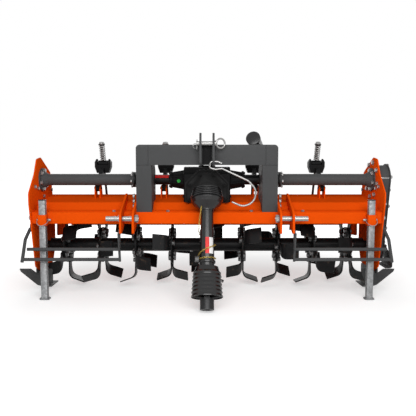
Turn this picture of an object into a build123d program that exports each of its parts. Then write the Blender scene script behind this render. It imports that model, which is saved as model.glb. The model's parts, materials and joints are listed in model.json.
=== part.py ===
"""PTO-driven rotary tiller (rotavator), parked on its two stands, two skids and drive shaft.

Millimetres.  X runs across the machine (+X is the chain-drive side), Y runs back from the
tractor side, Z is up from the floor.  Every piece is drawn so, and is filed with the origin
midway between the two lower hitch pins.  The machine is symmetric about X = 0 except for the
drive case, the document tube and the shaft hook.
"""
from build123d import *
from math import asin, atan2, cos, degrees, hypot, pi, radians, sin, tan
import os

# ---------------------------------------------------------------- driving dimensions
# floor, side plates and frame width
inner_half_width = 1015.0        # centre line to the inner face of a side plate
side_plate_thickness = 8.0
outer_half_width = inner_half_width + side_plate_thickness
seat_gap = 0.3                   # gap that seats loose-fitting pieces on each other
running_clearance = 0.05         # radial clearance of pins, journals and sliding tubes

# front beam, a square tube
beam_size = 70.0
beam_wall = 5.0
beam_front = 30.0
beam_bottom = 439.0
beam_rear = beam_front + beam_size
beam_top = beam_bottom + beam_size

# hood, a folded sheet behind the beam
hood_thickness = 5.0
hood_lip_depth = 38.0            # lip that lies on the beam
hood_slope_rise = 42.0
hood_slope_run = 46.0
hood_deck_rear = 440.0
hood_deck_fall = -29.0           # the deck climbs this much towards the rear
hood_tail_run = 48.0
hood_tail_fall = 20.0

# rotor
rotor_y = 330.0
rotor_z = 270.0
rotor_tube_radius = 42.0
rotor_tube_wall = 8.0
rotor_tube_half_length = inner_half_width - 19
stub_radius = 25.0
flange_count = 9
flange_end_gap = 108.0           # tube end to the middle of the end flange
flange_pitch = 2 * (rotor_tube_half_length - flange_end_gap) / (flange_count - 1)
flange_radius = 112.0
flange_thickness = 10.0
blade_tip_radius = 240.0
blade_thickness = 8.0
blade_bend_radius = 50.0         # outside of the bend
blade_wing_rise = 34.0           # the bend starts this far below the tip
blade_reach = 98.0               # sideways, from the face of its flange
blade_root_radius = 56.0
blade_shank_half_width = 23.0
blades_per_face = 3
helix_step = 25.0                # turn from one flange to the next, degrees

# cross tubes and gearbox output axis
axle_y = 235.0
axle_z = 689.0
cross_tube_radius = 35.0
cross_tube_wall = 6.0
outer_flange_radius = 71.0
inner_flange_radius = 47.0
axle_flange_thickness = 10.0
joint_face_x = 446.0             # where cross tube and trumpet flanges meet
trumpet_radius = 31.0

# gearbox
gearbox_half_width = 140.0
gearbox_front = 143.0
gearbox_rear = 338.0
gearbox_top = 768.0
cone_base_radius = 60.0
cone_end_radius = 43.0
cone_end_x = 224.0
front_plate_thickness = 24.0
front_plate_rim = 11.0
front_plate_recess = 9.0
plate_bolt_circle = 112.0
front_plate_apothem = 132.0
input_z = 619.0
input_fork_radius = 33.0

# headstock
headstock_half_width = 410.0
headstock_front = 35.0
headstock_leg_width = 89.0
headstock_depth = 80.0
headstock_top = 898.0
headstock_beam_height = 117.0
headstock_wall = 8.0
headstock_corner = 22.0
cheek_rear = 278.0
cheek_rear_top = 742.0

# top link ears and pin
ear_gap = 62.0
ear_thickness = 12.0
ear_front = -40.0
ear_bottom = 775.0
ear_top = 963.0
top_pin_radius = 12.7
top_pin_y = -2.0
top_pin_z = 904.0

# shaft hook, a bent wire: (X, Z, bend radius) from its free end through the ear to the hook
hook_radius = 5.5
hook_y = -16.0
hook_hole_z = 801.0
hook_route = (
    (84.0, 790.0, 0.0), (62.0, hook_hole_z, 8.0), (20.0, hook_hole_z, 14.0), (14.0, 766.0, 12.0),
    (48.0, 757.0, 14.0), (84.0, 762.0, 18.0), (236.0, 692.0, 60.0), (282.0, 640.0, 60.0),
    (268.0, 570.0, 60.0), (205.0, 545.0, 60.0), (142.0, 572.0, 0.0),
)

# lower hitch
hitch_inner_gap = 59.0
hitch_plate_thickness = 12.0
hitch_inner_x = headstock_half_width
hitch_outer_x = hitch_inner_x + hitch_plate_thickness + hitch_inner_gap
hitch_pin_radius = 14.0
hitch_pin_y = -42.0
hitch_pin_z = 479.0
hitch_pin_inner_x = 387.0
hitch_pin_outer_x = 573.0

# parking stands
stand_x = inner_half_width - 69
stand_size = 35.0
stand_wall = 4.0
stand_top = 579.0
foot_width = 58.0
foot_depth = 52.0
foot_thickness = 8.0
foot_corner = 14.0
sleeve_wall = 6.0
sleeve_bottom = 435.0
sleeve_height = 62.0

# front guards
guard_radius = 9.5
guard_y = -46.0
guard_upper_z = 304.0
guard_lower_z = 245.0
guard_inner_x = 497.0
guard_upper_outer_x = outer_half_width + 1
guard_lower_outer_x = outer_half_width + 33

# runners
skid_thickness = 6.0
skid_sole = (300.0, 455.0)       # the flat sole runs from here to here
skid_fold = (200.0, 33.0)        # where the nose turns up
skid_tip = (80.0, 157.0)
skid_nose_half = 96.0
skid_notch_half = 38.0           # the nose has a V-shaped notch, tapering to skid_notch_rear
skid_notch_rear = 120.0
skid_sole_half = 24.0
skid_web_thickness = 6.0
skid_web_top = 149.0

# rear door, lifting on a hinge rod, and the four spring rods that limit its fall
hinge_y = 512.0
hinge_z = 548.0
hinge_rod_radius = 8.0
hinge_barrel_radius = 14.0
hinge_lug_half = 6.0
door_half_width = inner_half_width - 15
hinge_lug_end = door_half_width - 28
hinge_lugs_x = (-hinge_lug_end, -hinge_lug_end / 2, 0.0, hinge_lug_end / 2, hinge_lug_end)
door_thickness = 5.0
door_length = 395.0
door_slope = 28.0                # degrees below level, parked
wing_thickness = 4.0
rod_x = (-686.0, -271.0, 307.0, 722.0)   # all four stand to one side of their lugs
rod_radius = 8.0
rod_eye_along = 80.0             # along the door from the hinge
rod_eye_above = 35.0
eye_pin_radius = 8.0
eye_play = (2.15, 0.95)          # the pin rests this far along and below its eye's centre
eye_clearance = 0.2
block_y = 495.0
block_z = 785.0
bracket_half_width = 52.0
bracket_reach = 34.0             # from the blocks forward to the bracket's front face
spring_start = 21.3              # along the rod above the block's centre
spring_length = 112.0
spring_radius = 20.0
spring_wire = 3.2
rod_top = 150.0

# drive shaft
joint_y = 12.0
shaft_drop = 65.0                # degrees below level, parked
yoke_radius = 38.0
shaft_end = (input_z - yoke_radius * cos(radians(shaft_drop))) / sin(radians(shaft_drop))
spline_radius = 17.45
yoke_hub_length = 60.0
front_joint = shaft_end - 108.0  # along the shaft from the rear joint
fork_half_gap = 28.0
fork_thickness = 10.0
fork_half_width = 15.0
fork_reach = 48.0
cross_pin_radius = 9.0
rear_guard_radius = 36.0
guard_wall = 2.6
front_guard_wall = 4.0
shaft_tube_wall = 8.2
bell_radius = 95.0
bell_mouth_radius = 79.0
bell_mouth = -23.0               # along the shaft from the rear joint
bell_crown = 36.0
bell_ribs = 5
bell_rib_depth = 6.0
bellows_radius = 87.0

# drive case
case_x0 = outer_half_width
case_width = 72.0
case_top_radius = 88.0
case_bottom_radius = 100.0


# ---------------------------------------------------------------- drawing helpers
def block(x0, x1, y0, y1, z0, z1):
    """Box between two corners."""
    centre = Pos((x0 + x1) / 2, (y0 + y1) / 2, (z0 + z1) / 2)
    return centre * Box(x1 - x0, y1 - y0, z1 - z0)


def bar(start, end, radius):
    """Round bar between two points."""
    along = Vector(*end) - Vector(*start)
    return extrude(Plane(origin=start, z_dir=along) * Circle(radius), along.length)


def bar_x(x0, x1, y, z, radius):
    """Round bar along X."""
    return bar((min(x0, x1), y, z), (max(x0, x1), y, z), radius)


def outline(corners):
    """Face bounded by (u, v, corner radius) corners joined by straight lines."""
    count = len(corners)
    leaving, arriving, edges = [], [], []
    for i, (u, v, radius) in enumerate(corners):
        here = Vector(u, v)
        back = (Vector(*corners[i - 1][:2]) - here).normalized()
        on = (Vector(*corners[(i + 1) % count][:2]) - here).normalized()
        half = radians(back.get_angle(on)) / 2
        reach = radius / tan(half)
        arriving.append(here + back * reach)
        leaving.append(here + on * reach)
        if radius > 0:
            middle = here + (back + on).normalized() * (radius / sin(half) - radius)
            edges.append(ThreePointArc(arriving[i], middle, leaving[i]))
    for i in range(count):
        start, end = leaving[i - 1], arriving[i]
        if (end - start).length > 1e-6:
            edges.append(Line(start, end))
    return make_face(edges)


def side_plate(corners, x0, x1):
    """Plate whose outline is drawn in (Y, Z) and that fills x0 to x1."""
    face = Plane.YZ.offset(min(x0, x1)) * outline(corners)
    return extrude(face, abs(x1 - x0), dir=(1, 0, 0))


def strip(path, thickness):
    """Corners of a folded sheet: path is its (u, v, bend radius) upper line."""
    lower = []
    last = len(path) - 1
    for i, (u, v, radius) in enumerate(path):
        before = path[max(i - 1, 0)]
        after = path[min(i + 1, last)]
        turn_in = atan2(v - before[1], u - before[0]) if i else None
        turn_out = atan2(after[1] - v, after[0] - u) if i < last else None
        first = turn_in if turn_in is not None else turn_out
        second = turn_out if turn_out is not None else turn_in
        bisector = (first + second) / 2
        depth = thickness / cos((second - first) / 2)
        inner = radius + thickness if second > first else max(radius - thickness, 0)
        lower.append((u + depth * sin(bisector), v - depth * cos(bisector), inner if radius else 0))
    return list(path) + lower[::-1]


def belt(centre_a, radius_a, centre_b, radius_b):
    """Face inside a belt round two circles in the (u, v) plane."""
    a, b = Vector(*centre_a), Vector(*centre_b)
    span = b - a
    lean = degrees(asin((radius_a - radius_b) / span.length))
    on = span.normalized()
    left = on.rotate(Axis.Z, 90 - lean)
    right = on.rotate(Axis.Z, lean - 90)
    edges = [
        ThreePointArc(a + left * radius_a, a - on * radius_a, a + right * radius_a),
        Line(a + right * radius_a, b + right * radius_b),
        ThreePointArc(b + right * radius_b, b + on * radius_b, b + left * radius_b),
        Line(b + left * radius_b, a + left * radius_a),
    ]
    return make_face(edges)


def mirrored(shape):
    """The same shape on the other side of the centre line."""
    return mirror(shape, about=Plane.YZ)


nodes = {}


def keep(name, *shapes):
    """File the solids of one node."""
    nodes.setdefault(name, []).extend(shapes)


def keep_pair(name, shape):
    """File a right-hand shape and its left-hand mirror image as two nodes."""
    keep("right_" + name, shape)
    keep("left_" + name, mirrored(shape))


# ---------------------------------------------------------------- frame
def hood_path():
    """(Y, Z, bend radius) of the hood's upper surface, front to rear."""
    top = beam_top + hood_thickness
    fold = beam_rear + 4
    return [
        (beam_rear - hood_lip_depth, top, 0),
        (fold, top, 8),
        (fold + hood_slope_run, top + hood_slope_rise, 12),
        (hood_deck_rear, top + hood_slope_rise - hood_deck_fall, 20),
        (hood_deck_rear + hood_tail_run, top + hood_slope_rise - hood_deck_fall - hood_tail_fall, 0),
    ]


def deck_z(y):
    """Height of the hood's upper surface over its deck."""
    (y0, z0, _), (y1, z1, _) = hood_path()[2:4]
    return z0 + (z1 - z0) * (y - y0) / (y1 - y0)


def make_frame():
    """Front beam, hood, side plates and cross tubes."""
    beam = block(-inner_half_width, inner_half_width, beam_front, beam_rear, beam_bottom, beam_top)
    bore = block(-inner_half_width, inner_half_width, beam_front + beam_wall, beam_rear - beam_wall,
                 beam_bottom + beam_wall, beam_top - beam_wall)
    beam = fillet(beam.edges().filter_by(Axis.X), beam_wall * 1.4)
    keep("front_beam", beam - bore)
    keep("hood", side_plate(strip(hood_path(), hood_thickness), -inner_half_width, inner_half_width))

    # (Y, Z, corner radius) round a side plate, from the lower front corner upwards
    plate = [
        (76, 178, 20), (-10, 560, 120), (-10, 620, 30), (97, 725, 60), (150, 815, 25), (222, 825, 20),
        (410, 729, 30), (437, 640, 20), (452, 560, 40), (484, 440, 40), (484, 250, 60),
        (420, 140, 40), (150, 138, 30),
    ]
    for side in (1, -1):
        shape = side_plate(plate, side * inner_half_width, side * outer_half_width)
        shape -= bar_x(side * (inner_half_width - 1), side * (outer_half_width + 1),
                       rotor_y, rotor_z, stub_radius + 6)
        keep("right_side_plate" if side > 0 else "left_side_plate", shape)

    inner_end = joint_face_x + axle_flange_thickness
    outer_end = inner_half_width - axle_flange_thickness
    tube = bar_x(joint_face_x, inner_half_width, axle_y, axle_z, cross_tube_radius)
    tube += bar_x(outer_end, inner_half_width, axle_y, axle_z, outer_flange_radius)
    tube += bar_x(joint_face_x, inner_end, axle_y, axle_z, inner_flange_radius)
    boss = Plane(origin=(outer_end, axle_y, axle_z), z_dir=(-1, 0, 0))
    tube += loft([boss * Circle(outer_flange_radius - 16),
                  boss.offset(32) * Circle(cross_tube_radius + 0.5)])
    tube -= bar_x(joint_face_x - 1, inner_half_width + 1, axle_y, axle_z,
                  cross_tube_radius - cross_tube_wall)
    keep_pair("cross_tube", tube)


# ---------------------------------------------------------------- gearbox
def make_gearbox():
    """Cast housing, its two trumpets, the octagonal front plate and the input fork."""
    low = deck_z(gearbox_front)
    body = side_plate([
        (gearbox_front, deck_z(gearbox_front), 0), (gearbox_front, gearbox_top - 40, 30),
        (gearbox_front + 40, gearbox_top, 30), (gearbox_rear - 50, gearbox_top, 40),
        (gearbox_rear, gearbox_top - 60, 30), (gearbox_rear, deck_z(gearbox_rear), 0),
    ], -gearbox_half_width, gearbox_half_width)
    for side in (1, -1):
        base = Plane(origin=(side * (gearbox_half_width - 1), axle_y, axle_z), z_dir=(side, 0, 0))
        cone = loft([base * Circle(cone_base_radius),
                     base.offset(cone_end_x - gearbox_half_width + 1) * Circle(cone_end_radius)])
        body += cone
    keep("gearbox_housing", body)

    trumpet = bar_x(cone_end_x, joint_face_x, axle_y, axle_z, trumpet_radius)
    trumpet += bar_x(joint_face_x - axle_flange_thickness, joint_face_x, axle_y, axle_z,
                     inner_flange_radius)
    trumpet -= bar_x(cone_end_x - 1, joint_face_x + 1, axle_y, axle_z, trumpet_radius - 8)
    keep_pair("trumpet", trumpet)

    plate_front = gearbox_front - front_plate_thickness
    corner_radius = front_plate_apothem / cos(pi / 8)
    octagon = RegularPolygon(corner_radius, 8, rotation=22.5)
    face = Plane(origin=(0, gearbox_front, input_z), x_dir=(1, 0, 0), z_dir=(0, -1, 0)) * octagon
    plate = extrude(face, front_plate_thickness)
    floor_z = deck_z(gearbox_front) + seat_gap
    plate &= block(-200, 200, plate_front - 1, gearbox_front + 1, floor_z, input_z + 200)
    inner_corner = (front_plate_apothem - front_plate_rim) / cos(pi / 8)
    recess = Plane(origin=(0, plate_front, input_z), x_dir=(1, 0, 0), z_dir=(0, 1, 0))
    recess = extrude(recess * RegularPolygon(inner_corner, 8, rotation=22.5), front_plate_recess)
    recess -= bar((0, plate_front - 1, input_z), (0, gearbox_front, input_z), 58)
    for i in range(8):
        turn = radians(22.5 + i * 45)
        x, z = plate_bolt_circle * cos(turn), input_z + plate_bolt_circle * sin(turn)
        recess -= bar((x, plate_front - 1, z), (x, gearbox_front, z), 12)
    plate -= recess
    plate -= bar((0, plate_front - 1, input_z), (0, gearbox_front + 1, input_z), 40)
    keep("gearbox_front_plate", plate)

    hub_end = joint_y + fork_reach
    fork = bar((0, gearbox_front, input_z), (0, hub_end, input_z), input_fork_radius)
    for side in (1, -1):
        x0, x1 = sorted((side * fork_half_gap, side * (fork_half_gap + fork_thickness)))
        fork += block(x0, x1, joint_y, hub_end + 6, input_z - fork_half_width, input_z + fork_half_width)
        fork += bar_x(x0, x1, joint_y, input_z, fork_half_width)
    reach = fork_half_gap + fork_thickness
    fork -= bar_x(-reach - 1, reach + 1, joint_y, input_z, cross_pin_radius + running_clearance)
    keep("input_fork", fork)


# ---------------------------------------------------------------- headstock and hitch
def make_headstock():
    """Box beam on two deep legs, with the top link ears, pin, shaft hook and document tube."""
    front, back = headstock_front, headstock_front + headstock_depth
    leg_inner = headstock_half_width - headstock_leg_width
    beam_low = headstock_top - headstock_beam_height
    wall = headstock_wall
    beam = block(-headstock_half_width, headstock_half_width, front, back, beam_low, headstock_top)
    beam -= block(-headstock_half_width + wall, headstock_half_width - wall, front + wall,
                  back - wall, beam_low + wall, headstock_top - wall)
    cheek = [
        (front, beam_top + hood_thickness, 0), (front, headstock_top, 10), (back, headstock_top, 20),
        (cheek_rear, cheek_rear_top, 40), (cheek_rear, deck_z(cheek_rear), 0),
        hood_path()[2], hood_path()[1],
    ]
    shape = beam
    for side in (1, -1):
        x0, x1 = sorted((side * leg_inner, side * headstock_half_width))
        shape += block(x0, x1, front, front + wall, beam_top + hood_thickness, headstock_top)
        for edge in (leg_inner, headstock_half_width - wall):
            plate = side_plate(cheek, side * edge, side * (edge + wall))
            plate -= bar_x(side * (edge - 1), side * (edge + wall + 1), axle_y, axle_z, trumpet_radius)
            shape += plate
    # the leg's front foot rests on the beam ahead of the hood's lip
    shape += block(leg_inner, headstock_half_width, front, beam_rear - hood_lip_depth - 1,
                   beam_top, beam_top + hood_thickness)
    shape += block(-headstock_half_width, -leg_inner, front, beam_rear - hood_lip_depth - 1,
                   beam_top, beam_top + hood_thickness)
    width = headstock_half_width
    rounded = outline([(-width, 0, 0), (width, 0, 0), (width, headstock_top, headstock_corner),
                       (-width, headstock_top, headstock_corner)])
    keep("headstock", shape & extrude(Plane.XZ * rounded, 600, both=True))

    ear_inner = ear_gap / 2
    ear_outer = ear_inner + ear_thickness
    ear_round = 34
    for side in (1, -1):
        ear = side_plate([
            (ear_front, ear_bottom + 20, 15), (ear_front, ear_top, ear_round),
            (headstock_front, ear_top, ear_round), (headstock_front, ear_bottom, 0),
            (ear_front + 20, ear_bottom, 10),
        ], side * ear_inner, side * ear_outer)
        ear -= bar_x(side * (ear_inner - 1), side * (ear_outer + 1), top_pin_y, top_pin_z,
                     top_pin_radius + running_clearance)
        if side > 0:
            ear -= bar_x(ear_inner - 1, ear_outer + 1, hook_y, hook_hole_z, hook_radius + seat_gap)
        keep("top_link_ears", ear)

    ring_x = ear_outer + 34
    pin = bar_x(-ear_outer - 18, ring_x - 22, top_pin_y, top_pin_z, top_pin_radius)
    pin += bar_x(ear_outer + 1, ear_outer + 7, top_pin_y, top_pin_z, top_pin_radius + 5)
    ring = Plane(origin=(ring_x, top_pin_y, top_pin_z), z_dir=(0.5, -1, 0)) * Torus(27, 5)
    keep("top_link_pin", pin + ring)


def make_fittings():
    """Shaft hook and document tube."""
    points = [(x, hook_y, z) for x, z, _ in hook_route]
    path = FilletPolyline(*points, radius=[radius for _, _, radius in hook_route[1:-1]])
    start = Plane(origin=path @ 0, z_dir=path % 0)
    keep("shaft_hook", sweep(start * Circle(hook_radius), path=path))

    cap = Vector(272, 132, 940)
    along = Vector(0.27, 0.87, -0.40).normalized()
    body = bar(cap, cap + along * 215, 40)
    body += bar(cap, cap + along * 26, 43)
    back = headstock_front + headstock_depth
    keep("document_tube", body)
    seat = cap + along * 95
    cradle = block(seat.X - 22, seat.X + 22, back, seat.Y + 34, seat.Z - 56, seat.Z)
    keep("tube_bracket", cradle - body)


def make_hitch():
    """Lower hitch plates and pins."""
    plate = [
        (-85, 396, 12), (-85, 505, 20), (-50, 528, 40), (180, 612, 12), (192, deck_z(192), 0),
        hood_path()[2], hood_path()[1], hood_path()[0], (hood_path()[0][0], beam_top, 0),
        (beam_front, beam_top, 0), (beam_front, beam_bottom - 12, 0), (-60, 396, 12),
    ]
    for start in (hitch_inner_x, hitch_outer_x):
        shape = side_plate(plate, start, start + hitch_plate_thickness)
        shape -= bar_x(start - 1, start + hitch_plate_thickness + 1, hitch_pin_y, hitch_pin_z,
                       hitch_pin_radius)
        keep_pair("hitch_plates", shape)
    pin = bar_x(hitch_pin_inner_x, hitch_pin_outer_x, hitch_pin_y, hitch_pin_z, hitch_pin_radius)
    nut = Plane(origin=(hitch_inner_x - 20, hitch_pin_y, hitch_pin_z), z_dir=(1, 0, 0))
    pin += extrude(nut * RegularPolygon(22, 6), 20)
    pin += bar_x(hitch_outer_x + hitch_plate_thickness, hitch_outer_x + hitch_plate_thickness + 8,
                 hitch_pin_y, hitch_pin_z, hitch_pin_radius + 6)
    keep_pair("hitch_pin", pin)


# ---------------------------------------------------------------- stands, guards and skids
def make_stands():
    """Square-tube parking stands in sleeves on the front beam."""
    half = stand_size / 2
    centre_y = beam_front - sleeve_wall - running_clearance - half
    tube = block(stand_x - half, stand_x + half, centre_y - half, centre_y + half,
                 foot_thickness, stand_top)
    inside = half - stand_wall
    tube -= block(stand_x - inside, stand_x + inside, centre_y - inside, centre_y + inside,
                  foot_thickness, stand_top + 1)
    across, along = foot_width / 2, foot_depth / 2
    corner = foot_corner
    foot = outline([(-across, -along, corner), (across, -along, corner), (across, along, corner),
                    (-across, along, corner)])
    tube += extrude(Pos(stand_x, centre_y, 0) * foot, foot_thickness)
    keep_pair("stand", tube)
    bore = half + running_clearance
    wall = bore + sleeve_wall
    sleeve = block(stand_x - wall, stand_x + wall, centre_y - wall, centre_y + wall,
                   sleeve_bottom, sleeve_bottom + sleeve_height)
    sleeve -= block(stand_x - bore, stand_x + bore, centre_y - bore, centre_y + bore,
                    sleeve_bottom - 1, sleeve_bottom + sleeve_height + 1)
    keep_pair("stand_sleeve", sleeve)


def make_guards():
    """Round-bar guards ahead of the rotor."""
    strap = bar((guard_inner_x, guard_y, guard_lower_z - 12), (guard_inner_x + 6, guard_y, 396), 7)
    upper = bar_x(guard_inner_x, guard_upper_outer_x, guard_y, guard_upper_z, guard_radius)
    lower = bar_x(guard_inner_x, guard_lower_outer_x, guard_y, guard_lower_z, guard_radius)
    arm_low = (guard_lower_outer_x, guard_y, guard_lower_z - 16)
    arm_bend = (outer_half_width + guard_radius + 0.5, guard_y, 360)
    arm_top = (outer_half_width + guard_radius, 40, 410)
    arm = bar(arm_low, arm_bend, guard_radius) + Pos(*arm_bend) * Sphere(guard_radius)
    arm += bar(arm_bend, arm_top, guard_radius)
    tab = side_plate([(24, 395, 10), (24, 440, 10), (70, 440, 10), (70, 395, 10)],
                     outer_half_width, outer_half_width + 6)
    hanger = side_plate([(-78, 300, 6), (-78, 420, 6), (-30, 420, 6), (-36, 300, 6)],
                        hitch_outer_x + hitch_plate_thickness,
                        hitch_outer_x + hitch_plate_thickness + 6)
    keep_pair("front_guard", upper + lower + arm + tab + hanger + strap)


def make_skids():
    """Runners under the side plates: a narrow sole that turns up into a wide notched nose."""
    middle = (inner_half_width + outer_half_width) / 2
    (tip_y, tip_z), (fold_y, fold_z) = skid_tip, skid_fold
    sole_y, heel_y = skid_sole
    rise = skid_thickness / cos(atan2(tip_z - fold_z, fold_y - tip_y))
    upper = [(tip_y, tip_z + rise, 0), (fold_y, fold_z + rise, 40), (sole_y, skid_thickness, 60),
             (heel_y, skid_thickness, 0)]
    reach = skid_nose_half + 4
    sheet = side_plate(strip(upper, skid_thickness), middle - reach, middle + reach)
    half_plan = [
        (skid_nose_half, tip_y - 10, 0), (skid_nose_half, tip_y + 12, 8), (30, fold_y, 40),
        (skid_sole_half, sole_y, 40), (skid_sole_half, heel_y + 10, 0),
    ]
    left_plan = [(-u, y, radius) for u, y, radius in reversed(half_plan)]
    notch = [(-skid_notch_half, tip_y - 10, 0), (0, skid_notch_rear, 6), (skid_notch_half, tip_y - 10, 0)]
    plan = Pos(middle, 0, -5) * outline(half_plan + left_plan + notch)
    sole = sheet & extrude(plan, 400, dir=(0, 0, 1))
    web = side_plate([
        (fold_y + 10, fold_z, 0), (tip_y + 32, tip_z - 27, 0), (tip_y + 32, tip_z, 10), (138, 190, 12),
        (214, 190, 12), (250, skid_web_top, 20), (400, skid_web_top, 10), (440, 120, 20), (430, 3, 0),
        (sole_y, 3, 0),
    ], outer_half_width, outer_half_width + skid_web_thickness)
    keep_pair("skid", sole + web)


# ---------------------------------------------------------------- rotor
def blade(side):
    """One L-blade: a shank against its flange, a wide bend and a tip that reaches sideways."""
    inner = flange_thickness / 2
    tip = inner + blade_reach
    bend = blade_bend_radius
    knee = blade_tip_radius - blade_wing_rise
    section = outline(strip([(inner, blade_root_radius, 0), (inner, knee, bend),
                             (tip, blade_tip_radius, 0)], blade_thickness))
    shank = blade_shank_half_width
    bent = extrude(Plane.XZ * section, 80, both=True)
    flat = outline([
        (-shank, blade_root_radius, 12), (-shank, 135, 60), (-58, knee + 6, 30), (-50, blade_tip_radius + 1, 0),
        (40, blade_tip_radius + 1, 0), (shank + 6, 165, 60), (shank, blade_root_radius, 12),
    ])
    shape = bent & extrude(Plane.YZ * flat, 200, both=True)
    return shape if side > 0 else mirrored(shape)


def make_rotor():
    """Tube, bolted flanges and the blades in two hands."""
    tube = bar_x(-rotor_tube_half_length, rotor_tube_half_length, rotor_y, rotor_z, rotor_tube_radius)
    tube += bar_x(-outer_half_width - 20, -rotor_tube_half_length + 10, rotor_y, rotor_z, stub_radius)
    tube += bar_x(rotor_tube_half_length - 10, outer_half_width + 20, rotor_y, rotor_z, stub_radius)
    tube -= bar_x(-rotor_tube_half_length + 20, rotor_tube_half_length - 20, rotor_y, rotor_z,
                  rotor_tube_radius - rotor_tube_wall)
    keep("rotor_tube", tube)
    hands = {1: blade(1), -1: blade(-1)}
    names = {1: "right_hand_blades", -1: "left_hand_blades"}
    for i in range(flange_count):
        x = (i - (flange_count - 1) / 2) * flange_pitch
        half = flange_thickness / 2
        disc = bar_x(x - half, x + half, rotor_y, rotor_z, flange_radius)
        keep("rotor_flanges", disc - bar_x(x - half - 1, x + half + 1, rotor_y, rotor_z, rotor_tube_radius))
        for k in range(blades_per_face * 2):
            side = 1 if k % 2 else -1
            turn = i * helix_step + k * 180 / blades_per_face
            keep(names[side], Pos(x, rotor_y, rotor_z) * Rot(turn, 0, 0) * hands[side])


def make_drive_side():
    """Drive case on the right, rotor bearing on the left and the case's lower shield."""
    x0, x1 = case_x0, case_x0 + case_width
    top, low = (axle_y, axle_z), (rotor_y, rotor_z)
    shape = extrude(Plane.YZ.offset(x0) * belt(top, case_top_radius, low, case_bottom_radius),
                    case_width)
    shape -= bar_x(x0 - 1, x0 + 21, rotor_y, rotor_z, stub_radius + running_clearance)
    keep("drive_case", shape)
    lip = Plane.YZ.offset(x1) * belt(top, case_top_radius + 9, low, case_bottom_radius + 9)
    keep("drive_case_cover", extrude(lip, 5))

    housing = bar_x(-outer_half_width - 24, -outer_half_width, rotor_y, rotor_z, 66)
    housing -= bar_x(-outer_half_width - 21, -outer_half_width + 1, rotor_y, rotor_z,
                     stub_radius + running_clearance)
    keep("rotor_bearing", housing)

    x = x1 + 5
    sheet = strip([(x, 148, 0), (x + 38, 148, 10), (x + 40, 219, 12), (x, 267, 10), (x, 290, 0)], 5)
    face = Plane(origin=(0, 190, 0), x_dir=(1, 0, 0), z_dir=(0, -1, 0)) * outline(sheet)
    keep("drive_case_guard", extrude(face, 180, dir=(0, 1, 0)))


# ---------------------------------------------------------------- rear door and its rods
def on_door(along, above):
    """(Y, Z) of a point given along and above the parked door's sheet."""
    fall = radians(door_slope)
    return (hinge_y + along * cos(fall) + above * sin(fall),
            hinge_z - along * sin(fall) + above * cos(fall))


eye_y, eye_z = on_door(rod_eye_along, rod_eye_above)
pin_y, pin_z = on_door(rod_eye_along - eye_play[0], rod_eye_above - eye_play[1])
rod_length = hypot(eye_y - block_y, eye_z - block_z)
rod_up = ((block_y - eye_y) / rod_length, (block_z - eye_z) / rod_length)


def on_rod(x, distance):
    """Point on a spring rod, measured up the rod from its swivel block."""
    return (x, block_y + rod_up[0] * distance, block_z + rod_up[1] * distance)


def make_door():
    """Hinge rod and lugs, the door with its end wings, and the rod brackets."""
    rod = bar_x(hinge_lugs_x[0] - hinge_lug_half, hinge_lugs_x[-1] + hinge_lug_half,
                hinge_y, hinge_z, hinge_rod_radius)
    under = strip(hood_path(), hood_thickness)[len(hood_path()):]
    tail, fold = Vector(*under[0][:2]), Vector(*under[1][:2])
    inboard = tail + (fold - tail) * 0.75
    for x in hinge_lugs_x:
        lug = side_plate([
            (inboard.X, inboard.Y, 0), (tail.X, tail.Y, 0), (hinge_y + 14, hinge_z + 6, 8),
            (hinge_y + 10, hinge_z - 14, 8), (inboard.X, inboard.Y - 22, 8),
        ], x - hinge_lug_half, x + hinge_lug_half)
        rod += lug
    keep("hinge_rod", rod)

    fall = radians(door_slope)
    sheet = strip([on_door(hinge_barrel_radius - 3, 2.5) + (0,), on_door(200, 2.5) + (400,),
                   on_door(door_length - 30, -14) + (30,), on_door(door_length, -34) + (0,)],
                  door_thickness)
    door = side_plate(sheet, -door_half_width, door_half_width)
    for left, right in zip(hinge_lugs_x, hinge_lugs_x[1:]):
        x0, x1 = left + hinge_lug_half + 2, right - hinge_lug_half - 2
        door += bar_x(x0, x1, hinge_y, hinge_z, hinge_barrel_radius)
    for x in hinge_lugs_x:
        x0, x1 = x - hinge_lug_half - 2, x + hinge_lug_half + 2
        door -= block(max(x0, -door_half_width - 1), min(x1, door_half_width + 1), hinge_y - 20,
                      hinge_y + 24, hinge_z - 40, hinge_z + 30)
    door -= bar_x(-door_half_width - 1, door_half_width + 1, hinge_y, hinge_z,
                  hinge_rod_radius + running_clearance)
    for x in rod_x:
        for side in (1, -1):
            ear = [on_door(rod_eye_along - 34, 2.5) + (0,), on_door(rod_eye_along - 14, 50) + (12,),
                   on_door(rod_eye_along + 14, 50) + (12,), on_door(rod_eye_along + 34, 2.5) + (0,)]
            start = x + side * 10
            door += side_plate(ear, start, start + side * 8)
        door -= bar_x(x - 20, x + 20, pin_y, pin_z, eye_pin_radius)
    keep("rear_door", door)
    pins = [bar_x(x - 18, x + 18, pin_y, pin_z, eye_pin_radius) for x in rod_x]
    keep("door_clevis_pins", *pins)

    wing = [(498, 500, 20), (478, 305, 20), (640, 290, 30), on_door(250, -2.5) + (0,),
            on_door(30, -2.5) + (0,)]
    for side in (1, -1):
        start = side * door_half_width
        keep("door_wings", side_plate(wing, start, start + side * wing_thickness))


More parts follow.
